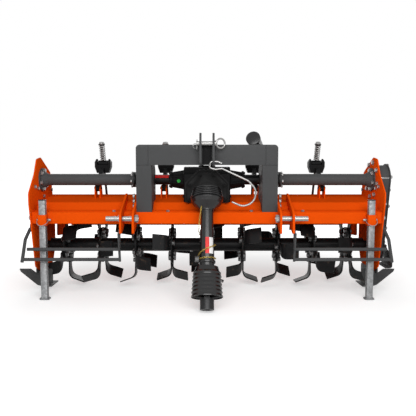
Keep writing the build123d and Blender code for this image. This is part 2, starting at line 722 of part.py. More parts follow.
def make_rods():
    """Spring rods, swivel blocks, springs and the brackets that carry them."""
    for x in rod_x:
        eye_bore = eye_pin_radius + hypot(*eye_play) + eye_clearance
        start = on_rod(x, -rod_length + eye_bore + 4)
        rod = bar(start, on_rod(x, rod_top), rod_radius)
        rod += bar_x(x - 9, x + 9, eye_y, eye_z, eye_bore + 6)
        washer = spring_start + spring_length
        rod += bar(on_rod(x, washer + 0.3), on_rod(x, washer + 4), 21)
        rod += bar(on_rod(x, washer + 4), on_rod(x, washer + 13), 14)
        rod -= bar_x(x - 10, x + 10, eye_y, eye_z, eye_bore)
        keep("door_rods", rod)

        swivel = bar_x(x - 30, x + 30, block_y, block_z, 21)
        swivel += bar_x(x - 52, x + 52, block_y, block_z, 9)
        swivel -= bar(on_rod(x, -40), on_rod(x, 40), rod_radius + running_clearance)
        keep("swivel_blocks", swivel)

        spring = bar(on_rod(x, spring_start), on_rod(x, spring_start + spring_length), spring_radius)
        spring -= bar(on_rod(x, spring_start - 1), on_rod(x, spring_start + spring_length + 1),
                      rod_radius + 2)
        keep("door_springs", spring)

        ears = Part()
        face = block_y - bracket_reach
        for side in (1, -1):
            cheek = side_plate([
                (face, block_z - 62, 8), (face, block_z + 12, 10), (block_y - 12, block_z + 32, 8),
                (block_y + 26, block_z + 12, 12), (block_y + 26, block_z - 62, 8),
            ], x + side * 36, x + side * bracket_half_width)
            ears += cheek
        half = bracket_half_width
        ears += block(x - half, x + half, face, block_y + 10, block_z - 62, block_z - 44)
        ears += block(x - half, x + half, face, face + 7, block_z - 62, block_z - 8)
        cup = outline([
            (x - 38, block_z - 63, 6), (x + 38, block_z - 63, 6), (x + half + 1, block_z - 20, 20),
            (x + half + 1, block_z + 6, 20), (x + half - 8, block_z + 33, 4), (x - half + 8, block_z + 33, 4),
            (x - half - 1, block_z + 6, 20), (x - half - 1, block_z - 20, 20),
        ])
        ears &= extrude(Plane.XZ * cup, 1000, both=True)
        arm = side_plate([
            (290, 612, 16), (290, 660, 20), (block_y - 60, block_z - 30, 40), (face + 5, block_z - 30, 0),
            (face + 5, block_z - 62, 0), (block_y - 60, block_z - 80, 40), (330, 612, 16),
        ], x - 12, x + 12)
        ears += arm
        ears += bar_x(x - 24, x + 24, 308, 634, 8)
        ears -= bar_x(x - 60, x + 60, block_y, block_z, 9 + running_clearance)
        ears -= bar(on_rod(x, -120), on_rod(x, 60), 16)
        keep("spring_brackets", ears)
        for side in (1, -1):
            start = x + side * (12 + seat_gap)
            ear = side_plate([
                (282, deck_z(282), 0), (284, 640, 22), (334, 662, 26), (352, deck_z(352), 0),
            ], start, start + side * 7)
            ear -= bar_x(x - 30, x + 30, 308, 634, 8 + running_clearance)
            keep("hood_ears", ear)


# ---------------------------------------------------------------- drive shaft
shaft_dir = Vector(0, -cos(radians(shaft_drop)), -sin(radians(shaft_drop)))
shaft_up = Vector(0, -sin(radians(shaft_drop)), cos(radians(shaft_drop)))
shaft_joint = Vector(0, joint_y, input_z)


def on_shaft(along):
    """Point on the shaft's axis, measured from the rear joint."""
    return shaft_joint + shaft_dir * along


def shaft_bar(start, end, radius):
    return bar(on_shaft(start), on_shaft(end), radius)


def shaft_revolve(corners):
    """Turn an (along, radius, corner radius) outline about the shaft's axis."""
    plane = Plane(origin=shaft_joint, x_dir=shaft_dir, z_dir=shaft_dir.cross(shaft_up))
    return revolve(plane * outline(corners), Axis(shaft_joint, shaft_dir))


def fork(centre, towards, direction):
    """Fork whose two ears lie either side of a joint and whose hub starts fork_reach away."""
    side_vector = Vector(1, 0, 0) if direction == "across" else shaft_up
    other = shaft_up if direction == "across" else Vector(1, 0, 0)
    shape = None
    for side in (1, -1):
        middle = fork_half_gap + fork_thickness / 2
        plane = Plane(origin=on_shaft(centre) + side_vector * side * (middle - fork_thickness / 2 * side * side),
                      x_dir=shaft_dir, z_dir=side_vector * side)
        length = fork_reach + 6
        ear = Pos(towards * length / 2, 0) * Rectangle(length, fork_half_width * 2)
        ear = extrude(plane * (ear + Circle(fork_half_width)), fork_thickness)
        shape = ear if shape is None else shape + ear
    return shape


def make_shaft():
    """Rear half that swings on the gearbox joint and front half that slides on it."""
    pin = fork_half_gap + fork_thickness
    hub = fork_reach
    cross = bar_x(-pin, pin, joint_y, input_z, cross_pin_radius)
    cross += bar(shaft_joint - shaft_up * pin, shaft_joint + shaft_up * pin, cross_pin_radius)
    cross += Pos(*shaft_joint) * Sphere(17)
    rear = cross + fork(0, 1, "up") + shaft_bar(hub, hub + 42, 33)
    inner_tube = rear_guard_radius - guard_wall - running_clearance - shaft_tube_wall
    rear += shaft_bar(hub + 40, 365, inner_tube - running_clearance)
    keep("shaft_rear_joint", rear)

    # the bell: ribs that widen down the shaft to a crown, then a smooth dome down to the neck
    wall = 4
    neck = 110
    pitch = (bell_crown - bell_mouth) / bell_ribs
    outer = [(bell_mouth, bell_mouth_radius - bell_rib_depth, 0)]
    for rib in range(bell_ribs):
        start = bell_mouth + rib * pitch
        crest = bell_mouth_radius + (bell_radius - bell_mouth_radius) * (rib + 1) / bell_ribs
        outer += [(start + pitch * 0.3, crest, 0), (start + pitch * 0.8, crest, 0),
                  (start + pitch, crest - bell_rib_depth, 0)]
    outer += [(bell_crown + 8, bell_radius - 3, 4), (bell_crown + 30, 82, 30), (bell_crown + 56, 50, 20),
              (neck - 8, rear_guard_radius + 3, 10), (neck, rear_guard_radius + 3, 0)]
    inside = [(neck, rear_guard_radius + 3 - wall, 0), (neck - 10, rear_guard_radius + 3 - wall, 0),
              (bell_crown + 53, 46, 20), (bell_crown + 26, 78, 30), (bell_crown + 4, bell_radius - 9, 0),
              (bell_mouth, bell_mouth_radius - bell_rib_depth - wall, 0)]
    guard = shaft_revolve(outer + inside)
    # the mouth is open at the back, where the gearbox fork comes in at every angle of the shaft
    room = input_fork_radius + 6
    above = [on_shaft(along) + shaft_up * room for along in (-160, 0)]
    slot = [(joint_y, input_z - room, 0), (joint_y + 160, input_z - room, 0),
            (joint_y + 160, input_z + 160, 0)] + [(point.Y, point.Z, 0) for point in above]
    guard -= side_plate(slot, -fork_half_gap - fork_thickness - 6, fork_half_gap + fork_thickness + 6)
    guard += shaft_bar(neck - 14, 360, rear_guard_radius)
    guard -= shaft_bar(neck - 60, 361, rear_guard_radius - guard_wall)
    guard += shaft_bar(hub + 42, neck, rear_guard_radius - 1) - shaft_bar(
        hub + 41, neck + 1, inner_tube - running_clearance)
    keep("shaft_rear_guard", guard)

    bore = inner_tube
    steel = rear_guard_radius - guard_wall - running_clearance
    front = shaft_bar(225, front_joint - hub - 38, steel) - shaft_bar(224, front_joint - hub - 37, bore)
    front += shaft_bar(front_joint - hub - 40, front_joint - hub, 34)
    front += fork(front_joint, -1, "across")
    front -= bar(on_shaft(front_joint) - Vector(pin + 1, 0, 0),
                 on_shaft(front_joint) + Vector(pin + 1, 0, 0), cross_pin_radius + running_clearance)
    keep("shaft_front_tube", front)
    cross = bar(on_shaft(front_joint) - Vector(pin, 0, 0), on_shaft(front_joint) + Vector(pin, 0, 0),
                cross_pin_radius)
    cross += bar(on_shaft(front_joint) - shaft_up * pin, on_shaft(front_joint) + shaft_up * pin,
                 cross_pin_radius)
    cross += Pos(*on_shaft(front_joint)) * Sphere(17)
    yoke = fork(front_joint, 1, "up") + shaft_bar(front_joint + hub, shaft_end, yoke_radius)
    yoke -= shaft_bar(shaft_end - yoke_hub_length, shaft_end + 1, spline_radius)
    keep("shaft_front_yoke", yoke + cross)

    start = 222
    cone = front_joint - 130
    rim = front_joint + 42
    outer = rear_guard_radius + running_clearance + front_guard_wall
    bellows = [(cone, outer), (cone + 6, 62), (cone + 30, 68), (cone + 40, 78)]
    pitch = (rim - cone - 44) / 6
    for ring in range(6):
        base = cone + 44 + ring * pitch
        bellows += [(base + pitch * 0.25, 74 + ring * 1.6), (base + pitch * 0.75, 80 + ring * 1.4)]
    bellows += [(rim, bellows_radius)]
    outside = [(s, r, 0) for s, r in bellows]
    inside = [(s, r - wall, 0) for s, r in bellows[::-1]]
    inside[-1] = (cone, rear_guard_radius + running_clearance, 0)
    inside.insert(-1, (cone + 12, rear_guard_radius + running_clearance, 0))
    sheath = shaft_revolve(outside + inside)
    sheath += shaft_bar(start, cone + 2, outer)
    sheath -= shaft_bar(start - 1, cone + 12, rear_guard_radius + running_clearance)
    sheath += shaft_bar(cone + 47, cone + 53, 76) - shaft_bar(cone + 46, cone + 54, 34)
    keep("shaft_front_guard", sheath)


make_frame()
make_gearbox()
make_headstock()
make_fittings()
make_hitch()
make_stands()
make_guards()
make_skids()
make_rotor()
make_drive_side()
make_door()
make_rods()
make_shaft()

os.makedirs("parts", exist_ok=True)
origin = Pos(0, -hitch_pin_y, -hitch_pin_z)
for name, shapes in nodes.items():
    solids = [origin * solid for shape in shapes for solid in shape.solids()]
    export_step(solids[0] if len(solids) == 1 else Compound(solids), "parts/" + name + ".step")
    print(name, len(solids))
print("door rods: eye", round(eye_y, 1), round(eye_z, 1), "length", round(rod_length, 1))
print("shaft end along", round(shaft_end, 1))
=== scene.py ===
"""Looks of a tractor-mounted rotary tiller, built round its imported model.

Metres, in the model's own frame: X across the machine, +Y back from the tractor, Z up.
"""
import json
import math

import bmesh
import bpy
from bpy.props import FloatProperty, FloatVectorProperty, IntProperty, PointerProperty
from mathutils import Matrix, Vector


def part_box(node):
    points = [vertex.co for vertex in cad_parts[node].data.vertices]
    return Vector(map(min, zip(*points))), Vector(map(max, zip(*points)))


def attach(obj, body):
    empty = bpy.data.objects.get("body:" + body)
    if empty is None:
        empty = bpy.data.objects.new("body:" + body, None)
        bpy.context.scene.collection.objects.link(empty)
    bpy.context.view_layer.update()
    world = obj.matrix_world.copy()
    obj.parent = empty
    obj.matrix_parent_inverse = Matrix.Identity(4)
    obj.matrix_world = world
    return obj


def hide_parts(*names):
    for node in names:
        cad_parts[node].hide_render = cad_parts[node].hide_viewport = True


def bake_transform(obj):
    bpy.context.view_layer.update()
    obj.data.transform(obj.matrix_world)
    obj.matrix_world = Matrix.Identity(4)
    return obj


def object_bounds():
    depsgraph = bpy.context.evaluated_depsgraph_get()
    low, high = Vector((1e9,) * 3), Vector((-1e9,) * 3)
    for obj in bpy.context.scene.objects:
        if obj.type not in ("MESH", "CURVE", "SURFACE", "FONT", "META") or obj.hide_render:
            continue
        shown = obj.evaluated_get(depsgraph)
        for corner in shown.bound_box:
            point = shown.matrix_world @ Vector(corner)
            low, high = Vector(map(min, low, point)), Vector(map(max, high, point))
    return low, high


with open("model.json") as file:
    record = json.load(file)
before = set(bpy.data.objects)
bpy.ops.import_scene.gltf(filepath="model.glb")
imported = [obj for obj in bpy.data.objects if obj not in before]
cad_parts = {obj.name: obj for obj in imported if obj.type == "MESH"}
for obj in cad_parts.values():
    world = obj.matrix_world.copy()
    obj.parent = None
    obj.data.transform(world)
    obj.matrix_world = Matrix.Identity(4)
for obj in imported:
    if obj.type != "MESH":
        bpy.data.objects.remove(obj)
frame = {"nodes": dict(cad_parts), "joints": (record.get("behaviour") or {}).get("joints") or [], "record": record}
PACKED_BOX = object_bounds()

bl_info = {
    "name": "Rotary tiller looks",
    "version": (1, 0, 0),
    "blender": (4, 5, 0),
    "location": "3D View > Sidebar > Tiller",
    "description": "Finishes, springs, fasteners and small fittings of a rotary tiller",
    "category": "Object",
}


# ---- places

def low(node):
    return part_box(node)[0]


def high(node):
    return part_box(node)[1]


def middle(node):
    return (low(node) + high(node)) / 2


PLATE_FRONT = low("front_beam").y - 0.030   # the side plates stand 30 mm before the beam
FLOOR = PACKED_BOX[0][2]


def spot(x, y, z):
    """A place given in millimetres: across, back from the side plates' front edge, up from the floor."""
    return Vector((x / 1000, PLATE_FRONT + y / 1000, FLOOR + z / 1000))


# axes in spot's millimetres, back and up
TUBE_AXIS = (235, 689)      # the cross tubes and the drive case's upper shaft
ROTOR_AXIS = (330, 270)
INPUT_JOINT = (12, 619)
SIDES = (-1, 1)             # left and right


# ---- mesh helpers

def deselect():
    if bpy.context.mode != "OBJECT":
        bpy.ops.object.mode_set(mode="OBJECT")
    bpy.ops.object.select_all(action="DESELECT")


def pick(*objects):
    deselect()
    for item in objects:
        item.select_set(True)
    bpy.context.view_layer.objects.active = objects[0]


def settle(piece):
    """Puts the piece's place, turn and size into its mesh."""
    pick(piece)
    bpy.ops.object.transform_apply(location=True, rotation=True, scale=True)
    return piece


def joined(pieces, name):
    pick(*pieces)
    if len(pieces) > 1:
        bpy.ops.object.join()
    piece = bpy.context.view_layer.objects.active
    piece.name = name
    piece.data.name = name
    return settle(piece)


def upright(point, direction):
    """The placing that takes the origin to the point and +Z to the direction."""
    turn = Vector(direction).to_track_quat("Z", "Y")
    return Matrix.Translation(Vector(point)) @ turn.to_matrix().to_4x4()


def bevelled(piece, width, segments=2):
    pick(piece)
    rounding = piece.modifiers.new("Rounded edges", "BEVEL")
    rounding.width = width
    rounding.segments = segments
    rounding.limit_method = "ANGLE"
    rounding.angle_limit = math.radians(40)
    bpy.ops.object.modifier_apply(modifier=rounding.name)
    return piece


def smoothed(piece, angle=30):
    pick(piece)
    bpy.ops.object.shade_smooth_by_angle(angle=math.radians(angle))
    return piece


def thickened(piece, thickness, offset):
    """Gives a sheet its thickness: outwards with offset 1, inwards with -1."""
    wall = piece.modifiers.new("Thickness", "SOLIDIFY")
    wall.thickness = thickness
    wall.offset = offset
    pick(piece)
    bpy.ops.object.modifier_apply(modifier=wall.name)
    return piece


def block(centre, size):
    """A square-cornered block."""
    deselect()
    bpy.ops.mesh.primitive_cube_add(size=1, location=centre, scale=size)
    return settle(bpy.context.object)


def round_bar(start, end, radius, sides, ends="NGON"):
    """A round bar between two points."""
    start, end = Vector(start), Vector(end)
    deselect()
    bpy.ops.mesh.primitive_cylinder_add(vertices=sides, radius=radius, depth=(end - start).length,
                                        end_fill_type=ends)
    bar = bpy.context.object
    bar.matrix_world = upright((start + end) / 2, end - start)
    return settle(bar)


def collar(start, end, inner, outer, sides):
    """A hollow round collar between two points."""
    return thickened(round_bar(start, end, outer, sides, "NOTHING"), outer - inner, -1)


def wire_ring(radius, wire, steps, sides, centre, turn, stretch=(1, 1, 1)):
    """A ring of round wire, stretched in its own frame and then turned."""
    deselect()
    bpy.ops.mesh.primitive_torus_add(major_radius=radius, minor_radius=wire, major_segments=steps,
                                     minor_segments=sides, location=centre, rotation=turn)
    bpy.context.object.scale = stretch
    return settle(bpy.context.object)


def edit_faces(piece, chooser):
    """Opens the piece in edit mode with only the faces that the chooser takes."""
    pick(piece)
    bpy.ops.object.mode_set(mode="EDIT")
    bpy.ops.mesh.select_mode(type="FACE")
    bpy.ops.mesh.select_all(action="DESELECT")
    shape = bmesh.from_edit_mesh(piece.data)
    for face in shape.faces:
        face.select_set(chooser(face))
    bmesh.update_edit_mesh(piece.data)


CHAMFER, CHAMFER_TAPER, WASHER = 0.2, 0.86, 0.66     # of a head's height, and twice of its width


def hex_head(width, height, washer):
    """A hexagon head with a chamfered top on its washer, standing on the origin."""
    flat = height * (1 - CHAMFER)
    deselect()
    bpy.ops.mesh.primitive_cylinder_add(vertices=6, radius=width / math.sqrt(3), depth=flat,
                                        location=(0, 0, washer + flat / 2))
    head = settle(bpy.context.object)
    edit_faces(head, lambda face: face.normal.z > 0.9)
    bpy.ops.mesh.extrude_region_move(TRANSFORM_OT_translate={"value": (0, 0, height - flat)})
    bpy.ops.transform.resize(value=(CHAMFER_TAPER, CHAMFER_TAPER, 1), center_override=(0, 0, 0))
    bpy.ops.object.mode_set(mode="OBJECT")
    deselect()
    bpy.ops.mesh.primitive_cylinder_add(vertices=20, radius=width * WASHER, depth=washer,
                                        location=(0, 0, washer / 2))
    return joined([head, bpy.context.object], "hex_head")


def copies(model, places, name):
    """Copies one model to each place, turned to its direction, and joins the copies."""
    made = []
    for point, facing in places:
        twin = model.copy()
        twin.data = model.data.copy()
        bpy.context.collection.objects.link(twin)
        twin.matrix_world = upright(point, facing)
        made.append(twin)
    bpy.data.objects.remove(model)
    return joined(made, name)


def dressed(piece, material, body, slot, *replaced):
    """Gives a finished piece its one material and its body; the slot is not used."""
    piece.data.materials.clear()
    piece.data.materials.append(material)
    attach(piece, body)
    if replaced:
        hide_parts(*replaced)
    return piece


def finished(piece, body, slot, *replaced, angle=30):
    """Smooths a piece and dresses it in its slot's own finish."""
    return dressed(smoothed(piece, angle), finish_of(slot), body, slot, *replaced)


# ---- finishes

def fresh_material(name):
    """A new material with its tree and shader; the old one of that name comes without them."""
    old = bpy.data.materials.get(name)
    if old:
        return old, None, None
    material = bpy.data.materials.new(name)
    material.use_nodes = True
    tree = material.node_tree
    tree.nodes.clear()
    shader = tree.nodes.new("ShaderNodeBsdfPrincipled")
    output = tree.nodes.new("ShaderNodeOutputMaterial")
    tree.links.new(shader.outputs[0], output.inputs["Surface"])
    return material, tree, shader


def wave_noise(tree, scale, detail):
    """Noise on object coordinates, in cycles a metre."""
    place = tree.nodes.new("ShaderNodeTexCoord")
    noise = tree.nodes.new("ShaderNodeTexNoise")
    noise.inputs["Scale"].default_value = scale
    noise.inputs["Detail"].default_value = detail
    tree.links.new(place.outputs["Object"], noise.inputs["Vector"])
    return noise.outputs["Fac"]


def ramp(tree, source, target, stops):
    """A colour ramp between two sockets, from (position, colour) stops."""
    node = tree.nodes.new("ShaderNodeValToRGB")
    elements = node.color_ramp.elements
    while len(elements) < len(stops):
        elements.new(0.5)
    for element, (position, colour) in zip(elements, stops):
        element.position = position
        element.color = (*colour, 1)
    tree.links.new(source, node.inputs["Fac"])
    tree.links.new(node.outputs["Color"], target)


def bump(tree, shader, source, distance, strength):
    """Relief in the shading, at most the distance high, in metres."""
    node = tree.nodes.new("ShaderNodeBump")
    node.inputs["Distance"].default_value = distance
    node.inputs["Strength"].default_value = strength
    tree.links.new(source, node.inputs["Height"])
    tree.links.new(node.outputs[0], shader.inputs["Normal"])


def grey(value):
    return (value, value, value)


def toned(colour, factor):
    return tuple(min(1.0, part * factor) for part in colour)


def sprayed_paint(name, colour, roughness, specular):
    """Sprayed machine enamel: faint orange peel and soft changes of shade and gloss."""
    material, tree, shader = fresh_material(name)
    if tree is None:
        return material
    ramp(tree, wave_noise(tree, 3.2, 5.0), shader.inputs["Base Color"], [
        (0.3, toned(colour, 0.93)), (0.5, colour), (0.72, toned(colour, 1.05))])
    bump(tree, shader, wave_noise(tree, 420.0, 2.0), 0.00012, 0.5)
    ramp(tree, wave_noise(tree, 14.0, 6.0), shader.inputs["Roughness"], [
        (0.25, grey(roughness * 0.8)), (0.75, grey(roughness * 1.35))])
    shader.inputs["Specular IOR Level"].default_value = specular
    return material


def cast_paint(name, colour):
    """Black paint over a sand-cast skin."""
    material, tree, shader = fresh_material(name)
    if tree is None:
        return material
    skin = wave_noise(tree, 260.0, 6.0)
    ramp(tree, skin, shader.inputs["Base Color"], [(0.35, toned(colour, 0.7)), (0.7, toned(colour, 1.5))])
    bump(tree, shader, skin, 0.0007, 0.6)
    shader.inputs["Roughness"].default_value = 0.5
    shader.inputs["Specular IOR Level"].default_value = 0.08
    return material


def hot_dip_zinc(name, colour):
    """Hot-dip galvanising: spangled crystals and a dull, uneven shine."""
    material, tree, shader = fresh_material(name)
    if tree is None:
        return material
    place = tree.nodes.new("ShaderNodeTexCoord")
    spangle = tree.nodes.new("ShaderNodeTexVoronoi")
    spangle.inputs["Scale"].default_value = 95.0
    tree.links.new(place.outputs["Object"], spangle.inputs["Vector"])
    part = tree.nodes.new("ShaderNodeSeparateColor")
    tree.links.new(spangle.outputs["Color"], part.inputs[0])
    ramp(tree, part.outputs[0], shader.inputs["Base Color"], [
        (0.0, toned(colour, 0.78)), (0.5, colour), (1.0, toned(colour, 1.2))])
    ramp(tree, part.outputs[1], shader.inputs["Roughness"], [(0.0, grey(0.34)), (1.0, grey(0.58))])
    shader.inputs["Metallic"].default_value = 0.45
    shader.inputs["Specular IOR Level"].default_value = 0.3
    return material


def plated_steel(name, colour, roughness):
    """Bright plated or bare machined steel with fine turning marks."""
    material, tree, shader = fresh_material(name)
    if tree is None:
        return material
    marks = wave_noise(tree, 60.0, 6.0)
    ramp(tree, marks, shader.inputs["Base Color"], [(0.3, toned(colour, 0.82)), (0.7, toned(colour, 1.08))])
    ramp(tree, marks, shader.inputs["Roughness"], [(0.3, grey(roughness * 0.8)), (0.7, grey(roughness * 1.3))])
    shader.inputs["Metallic"].default_value = 0.7
    return material


def moulded_plastic(name, colour, roughness=0.3, specular=0.3):
    """Blow-moulded guard plastic with a faint grain."""
    material, tree, shader = fresh_material(name)
    if tree is None:
        return material
    bump(tree, shader, wave_noise(tree, 700.0, 3.0), 0.00015, 0.5)
    ramp(tree, wave_noise(tree, 9.0, 3.0), shader.inputs["Base Color"], [
        (0.3, toned(colour, 0.8)), (0.7, toned(colour, 1.25))])
    shader.inputs["Roughness"].default_value = roughness
    shader.inputs["Specular IOR Level"].default_value = specular
    return material


RUST = (0.07, 0.045, 0.03)


def worn_black(name, colour):
    """Black paint on the soil tools, thin and slightly rusty at the rub."""
    material, tree, shader = fresh_material(name)
    if tree is None:
        return material
    ramp(tree, wave_noise(tree, 24.0, 8.0), shader.inputs["Base Color"], [
        (0.3, colour), (0.62, toned(colour, 1.6)), (0.78, RUST)])
    shader.inputs["Roughness"].default_value = 0.4
    shader.inputs["Specular IOR Level"].default_value = 0.1
    bump(tree, shader, wave_noise(tree, 300.0, 4.0), 0.0002, 0.5)
    return material


def finish_of(slot):
    """The material of one of the record's slots."""
    paint = bpy.context.scene.tiller_finishes
    make, name, colour, *rest = {
        "orange_paint": (sprayed_paint, "Orange enamel", paint.orange, 0.5, 0.0),
        "grey_paint": (sprayed_paint, "Dark grey enamel", paint.grey, 0.5, 0.07),
        "black_paint": (worn_black, "Black tool paint", paint.black),
        "black_casting": (cast_paint, "Black casting", paint.black),
        "black_plastic": (moulded_plastic, "Black guard plastic", paint.plastic, 0.26, 0.42),
        "galvanised_steel": (hot_dip_zinc, "Hot-dip zinc", paint.zinc),
        "zinc_plated_steel": (plated_steel, "Bright zinc plate", paint.plate, 0.26),
        "oiled_steel": (plated_steel, "Oiled forged steel", paint.forged, 0.4),
    }[slot]
    return make(name, tuple(colour), *rest)


def metres(name, description, value):
    return FloatProperty(name=name, description=description, default=value, unit="LENGTH")


def rgb(name, description, value):
    return FloatVectorProperty(name=name, description=description, default=value, subtype="COLOR", min=0, max=1)


class TillerFinishes(bpy.types.PropertyGroup):
    """Colours of the machine's finishes."""
    orange: rgb("Orange enamel", "Of the frame, hood and door", (0.73, 0.073, 0.003))
    grey: rgb("Grey enamel", "Of the headstock, tubes and runners", (0.062, 0.063, 0.064))
    black: rgb("Black paint", "Of the rotor and gearbox", (0.005, 0.005, 0.0053))
    plastic: rgb("Guard plastic", "Of the shaft guards", (0.006, 0.006, 0.0064))
    zinc: rgb("Hot-dip zinc", "Of the parking stands", (0.23, 0.234, 0.238))
    plate: rgb("Zinc plate", "Of pins, nuts and springs", (0.31, 0.307, 0.3))
    forged: rgb("Forged steel", "Of the shaft's forks and tubes", (0.12, 0.12, 0.12))
    # a lighter black than the housing's, for the gearbox's front plate: painted highlight that lets its rim stand
    # out
    plate_highlight: rgb("Casting with painted highlight", "Of the gearbox's front plate", (0.009, 0.009, 0.009))
    # a much darker steel for the drive shaft's front yoke: painted shade of the yoke hanging in shadow
    yoke: rgb("Yoke", "Of the drive shaft's front yoke", (0.022, 0.022, 0.023))
    # darker door rods: partly their own dark colour, partly painted shade in the gaps between the coils
    rod: rgb("Door rods", "Of the dull rods inside the springs", (0.05, 0.05, 0.05))


class TILLER_OT_finishes(bpy.types.Operator):
    """Gives every carried-over node the finish of its slot"""
    bl_idname = "tiller.finishes"
    bl_label = "Finishes"

    def execute(self, context):
        slots = {part["node"]: part["material_slot"] for part in frame["record"]["subparts"]}
        for node, piece in frame["nodes"].items():
            piece.data.materials.clear()
            piece.data.materials.append(finish_of(slots[node]))
        paint = context.scene.tiller_finishes
        # the door rods are darkened, partly as painted shade between the coils
        for node, name, tint in (("door_rods", "Dark rod steel, partly painted shade", paint.rod),
                                 # the front yoke's darker steel is painted shade
                                 ("shaft_front_yoke", "Forged steel in painted shade", paint.yoke)):
            frame["nodes"][node].data.materials[0] = plated_steel(name, tuple(tint), 0.45)
        return {"FINISHED"}


# ---- rounded plates

ROUNDED = (
    # node, body, slot, edge radius in metres
    ("front_beam", "frame", "orange_paint", 0.005),
    ("headstock", "frame", "grey_paint", 0.003),
    ("top_link_ears", "frame", "grey_paint", 0.0015),
    ("left_hitch_plates", "frame", "orange_paint", 0.0015),
    ("right_hitch_plates", "frame", "orange_paint", 0.0015),
    ("left_stand", "left_stand", "galvanised_steel", 0.002),
    ("right_stand", "right_stand", "galvanised_steel", 0.002),
    ("left_stand_sleeve", "frame", "orange_paint", 0.002),
    ("right_stand_sleeve", "frame", "orange_paint", 0.002),
    ("left_side_plate", "frame", "orange_paint", 0.0012),
    ("right_side_plate", "frame", "orange_paint", 0.0012),
    ("document_tube", "frame", "black_plastic", 0.004),
    ("gearbox_housing", "frame", "black_casting", 0.005),
    ("gearbox_front_plate", "frame", "black_casting", 0.003),
    ("drive_case", "frame", "grey_paint", 0.004),
    ("drive_case_guard", "frame", "grey_paint", 0.0012),
    ("left_skid", "frame", "grey_paint", 0.001),
    ("right_skid", "frame", "grey_paint", 0.001),
)


def rounded_copy(node, radius):
    """A copy of a carried-over node with its loose triangles merged and its edges rounded."""
    piece = frame["nodes"][node].copy()
    piece.data = piece.data.copy()
    piece.parent = None
    piece.matrix_world = Matrix.Identity(4)
    bpy.context.collection.objects.link(piece)
    piece.name = node + "_rounded"
    for key in [k for k in piece.keys() if k.startswith("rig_")]:
        del piece[key]
    pick(piece)
    bpy.ops.object.mode_set(mode="EDIT")
    bpy.ops.mesh.select_all(action="SELECT")
    bpy.ops.mesh.remove_doubles(threshold=0.00002)
    bpy.ops.mesh.dissolve_limited(angle_limit=math.radians(1.0))
    bpy.ops.object.mode_set(mode="OBJECT")
    piece.data.polygons.foreach_set("use_smooth", [False] * len(piece.data.polygons))
    return smoothed(bevelled(piece, radius), 35)


class TILLER_OT_rounded_plates(bpy.types.Operator):
    """Rounds the edges of the beam, headstock, plates, stands, castings and drive case"""
    bl_idname = "tiller.rounded_plates"
    bl_label = "Rounded plates"

    def execute(self, context):
        for node, body, slot, radius in ROUNDED:
            piece = rounded_copy(node, radius)
            dressed(piece, finish_of(slot), body, slot, node)
            # the front plate gets a lighter black than the housing: painted highlight, not wear
            if node == "gearbox_front_plate":
                tint = tuple(context.scene.tiller_finishes.plate_highlight)
                piece.data.materials[0] = cast_paint("Black casting with painted highlight", tint)
        return {"FINISHED"}


# ---- fasteners

# rings of bolts across X: radius in metres, number, first turn in radians
TUBE_FLANGE = (0.056, 6, 0.3)
CASE_FLANGE = (0.107, 8, 0.2)
JOINT_FLANGE = (0.0405, 6, 0.2)
FLANGE_THICKNESS = 0.010
# on the side plates, in spot's millimetres back and up
PLATE_NUTS = ((93, 653), (257, 585), (420, 617), (150, 640))
PLATE_HEADS = ((34, 556), (34, 475), (93, 653), (257, 585), (420, 617))
CASE_FROM = 100                 # on the right the drive case covers the plate from here back
RUNNER_BOLTS = ((148, 172), (202, 172))
RUNNER_THICKNESS = 6
# on the hitch plates and on the beam's top, in spot's millimetres
HITCH_BOLTS = ((422, 56, 601), (422, 56, 572), (422, 56, 543))
BEAM_BOLTS = ((-544, 60, 509), (-229, 60, 509), (260, 60, 509), (560, 60, 509))
# on the drive case's cover: rings round its two shafts (metres and degrees) and pairs on the way between
CASE_RINGS = ((TUBE_AXIS, 0.089, (150, 205, 270, 335, 30)), (ROTOR_AXIS, 0.101, (-30, 30, 90, 150, 210)))
CASE_HALF_WIDTH = 0.094
CASE_SHARES = (0.33, 0.66)


class TillerFasteners(bpy.types.PropertyGroup):
    """Sizes of the bolts."""
    small: metres("Small bolt", "Across the flats", 0.017)
    small_height: metres("Small head", "Height", 0.007)
    large: metres("Large bolt", "Across the flats", 0.022)
    large_height: metres("Large head", "Height", 0.009)
    washer: metres("Washer thickness", "Under each head", 0.002)


def ring_of(centre, facing, radius, count, start):
    """Places on a circle across X, all facing one way along X."""
    places = []
    for i in range(count):
        turn = start + i * 2 * math.pi / count
        places.append((centre + Vector((0, radius * math.cos(turn), radius * math.sin(turn))), facing))
    return places


def frame_bolts():
    """Places and directions of the frame's large and small bolts."""
    large, small = [], []
    inner_face, outer_face = abs(high("left_side_plate").x), abs(low("left_side_plate").x)
    tube_end = abs(high("left_cross_tube").x)
    tube = middle("left_cross_tube")

    def on_tube(x):
        return Vector((x, tube.y, tube.z))

    for side in SIDES:
        inward, outward = Vector((-side, 0, 0)), Vector((side, 0, 0))
        large += ring_of(on_tube(side * (inner_face - FLANGE_THICKNESS)), inward, *TUBE_FLANGE)
        if side < 0:
            large += ring_of(on_tube(side * outer_face), outward, *TUBE_FLANGE)
        else:
            large += ring_of(on_tube(side * inner_face), inward, *CASE_FLANGE)
        small += ring_of(on_tube(side * (tube_end + FLANGE_THICKNESS)), outward, *JOINT_FLANGE)
        for y, z in PLATE_NUTS:
            small.append((spot(side * inner_face * 1000, y, z), inward))
        for y, z in PLATE_HEADS:
            if side < 0 or y < CASE_FROM:
                large.append((spot(side * outer_face * 1000, y, z), outward))
        for y, z in RUNNER_BOLTS:
            large.append((spot(side * (outer_face * 1000 + RUNNER_THICKNESS), y, z), outward))
        for x, y, z in HITCH_BOLTS:
            large.append((spot(side * x, y, z), outward))
    for place in BEAM_BOLTS:
        small.append((spot(*place), Vector((0, 0, 1))))
    return large, small


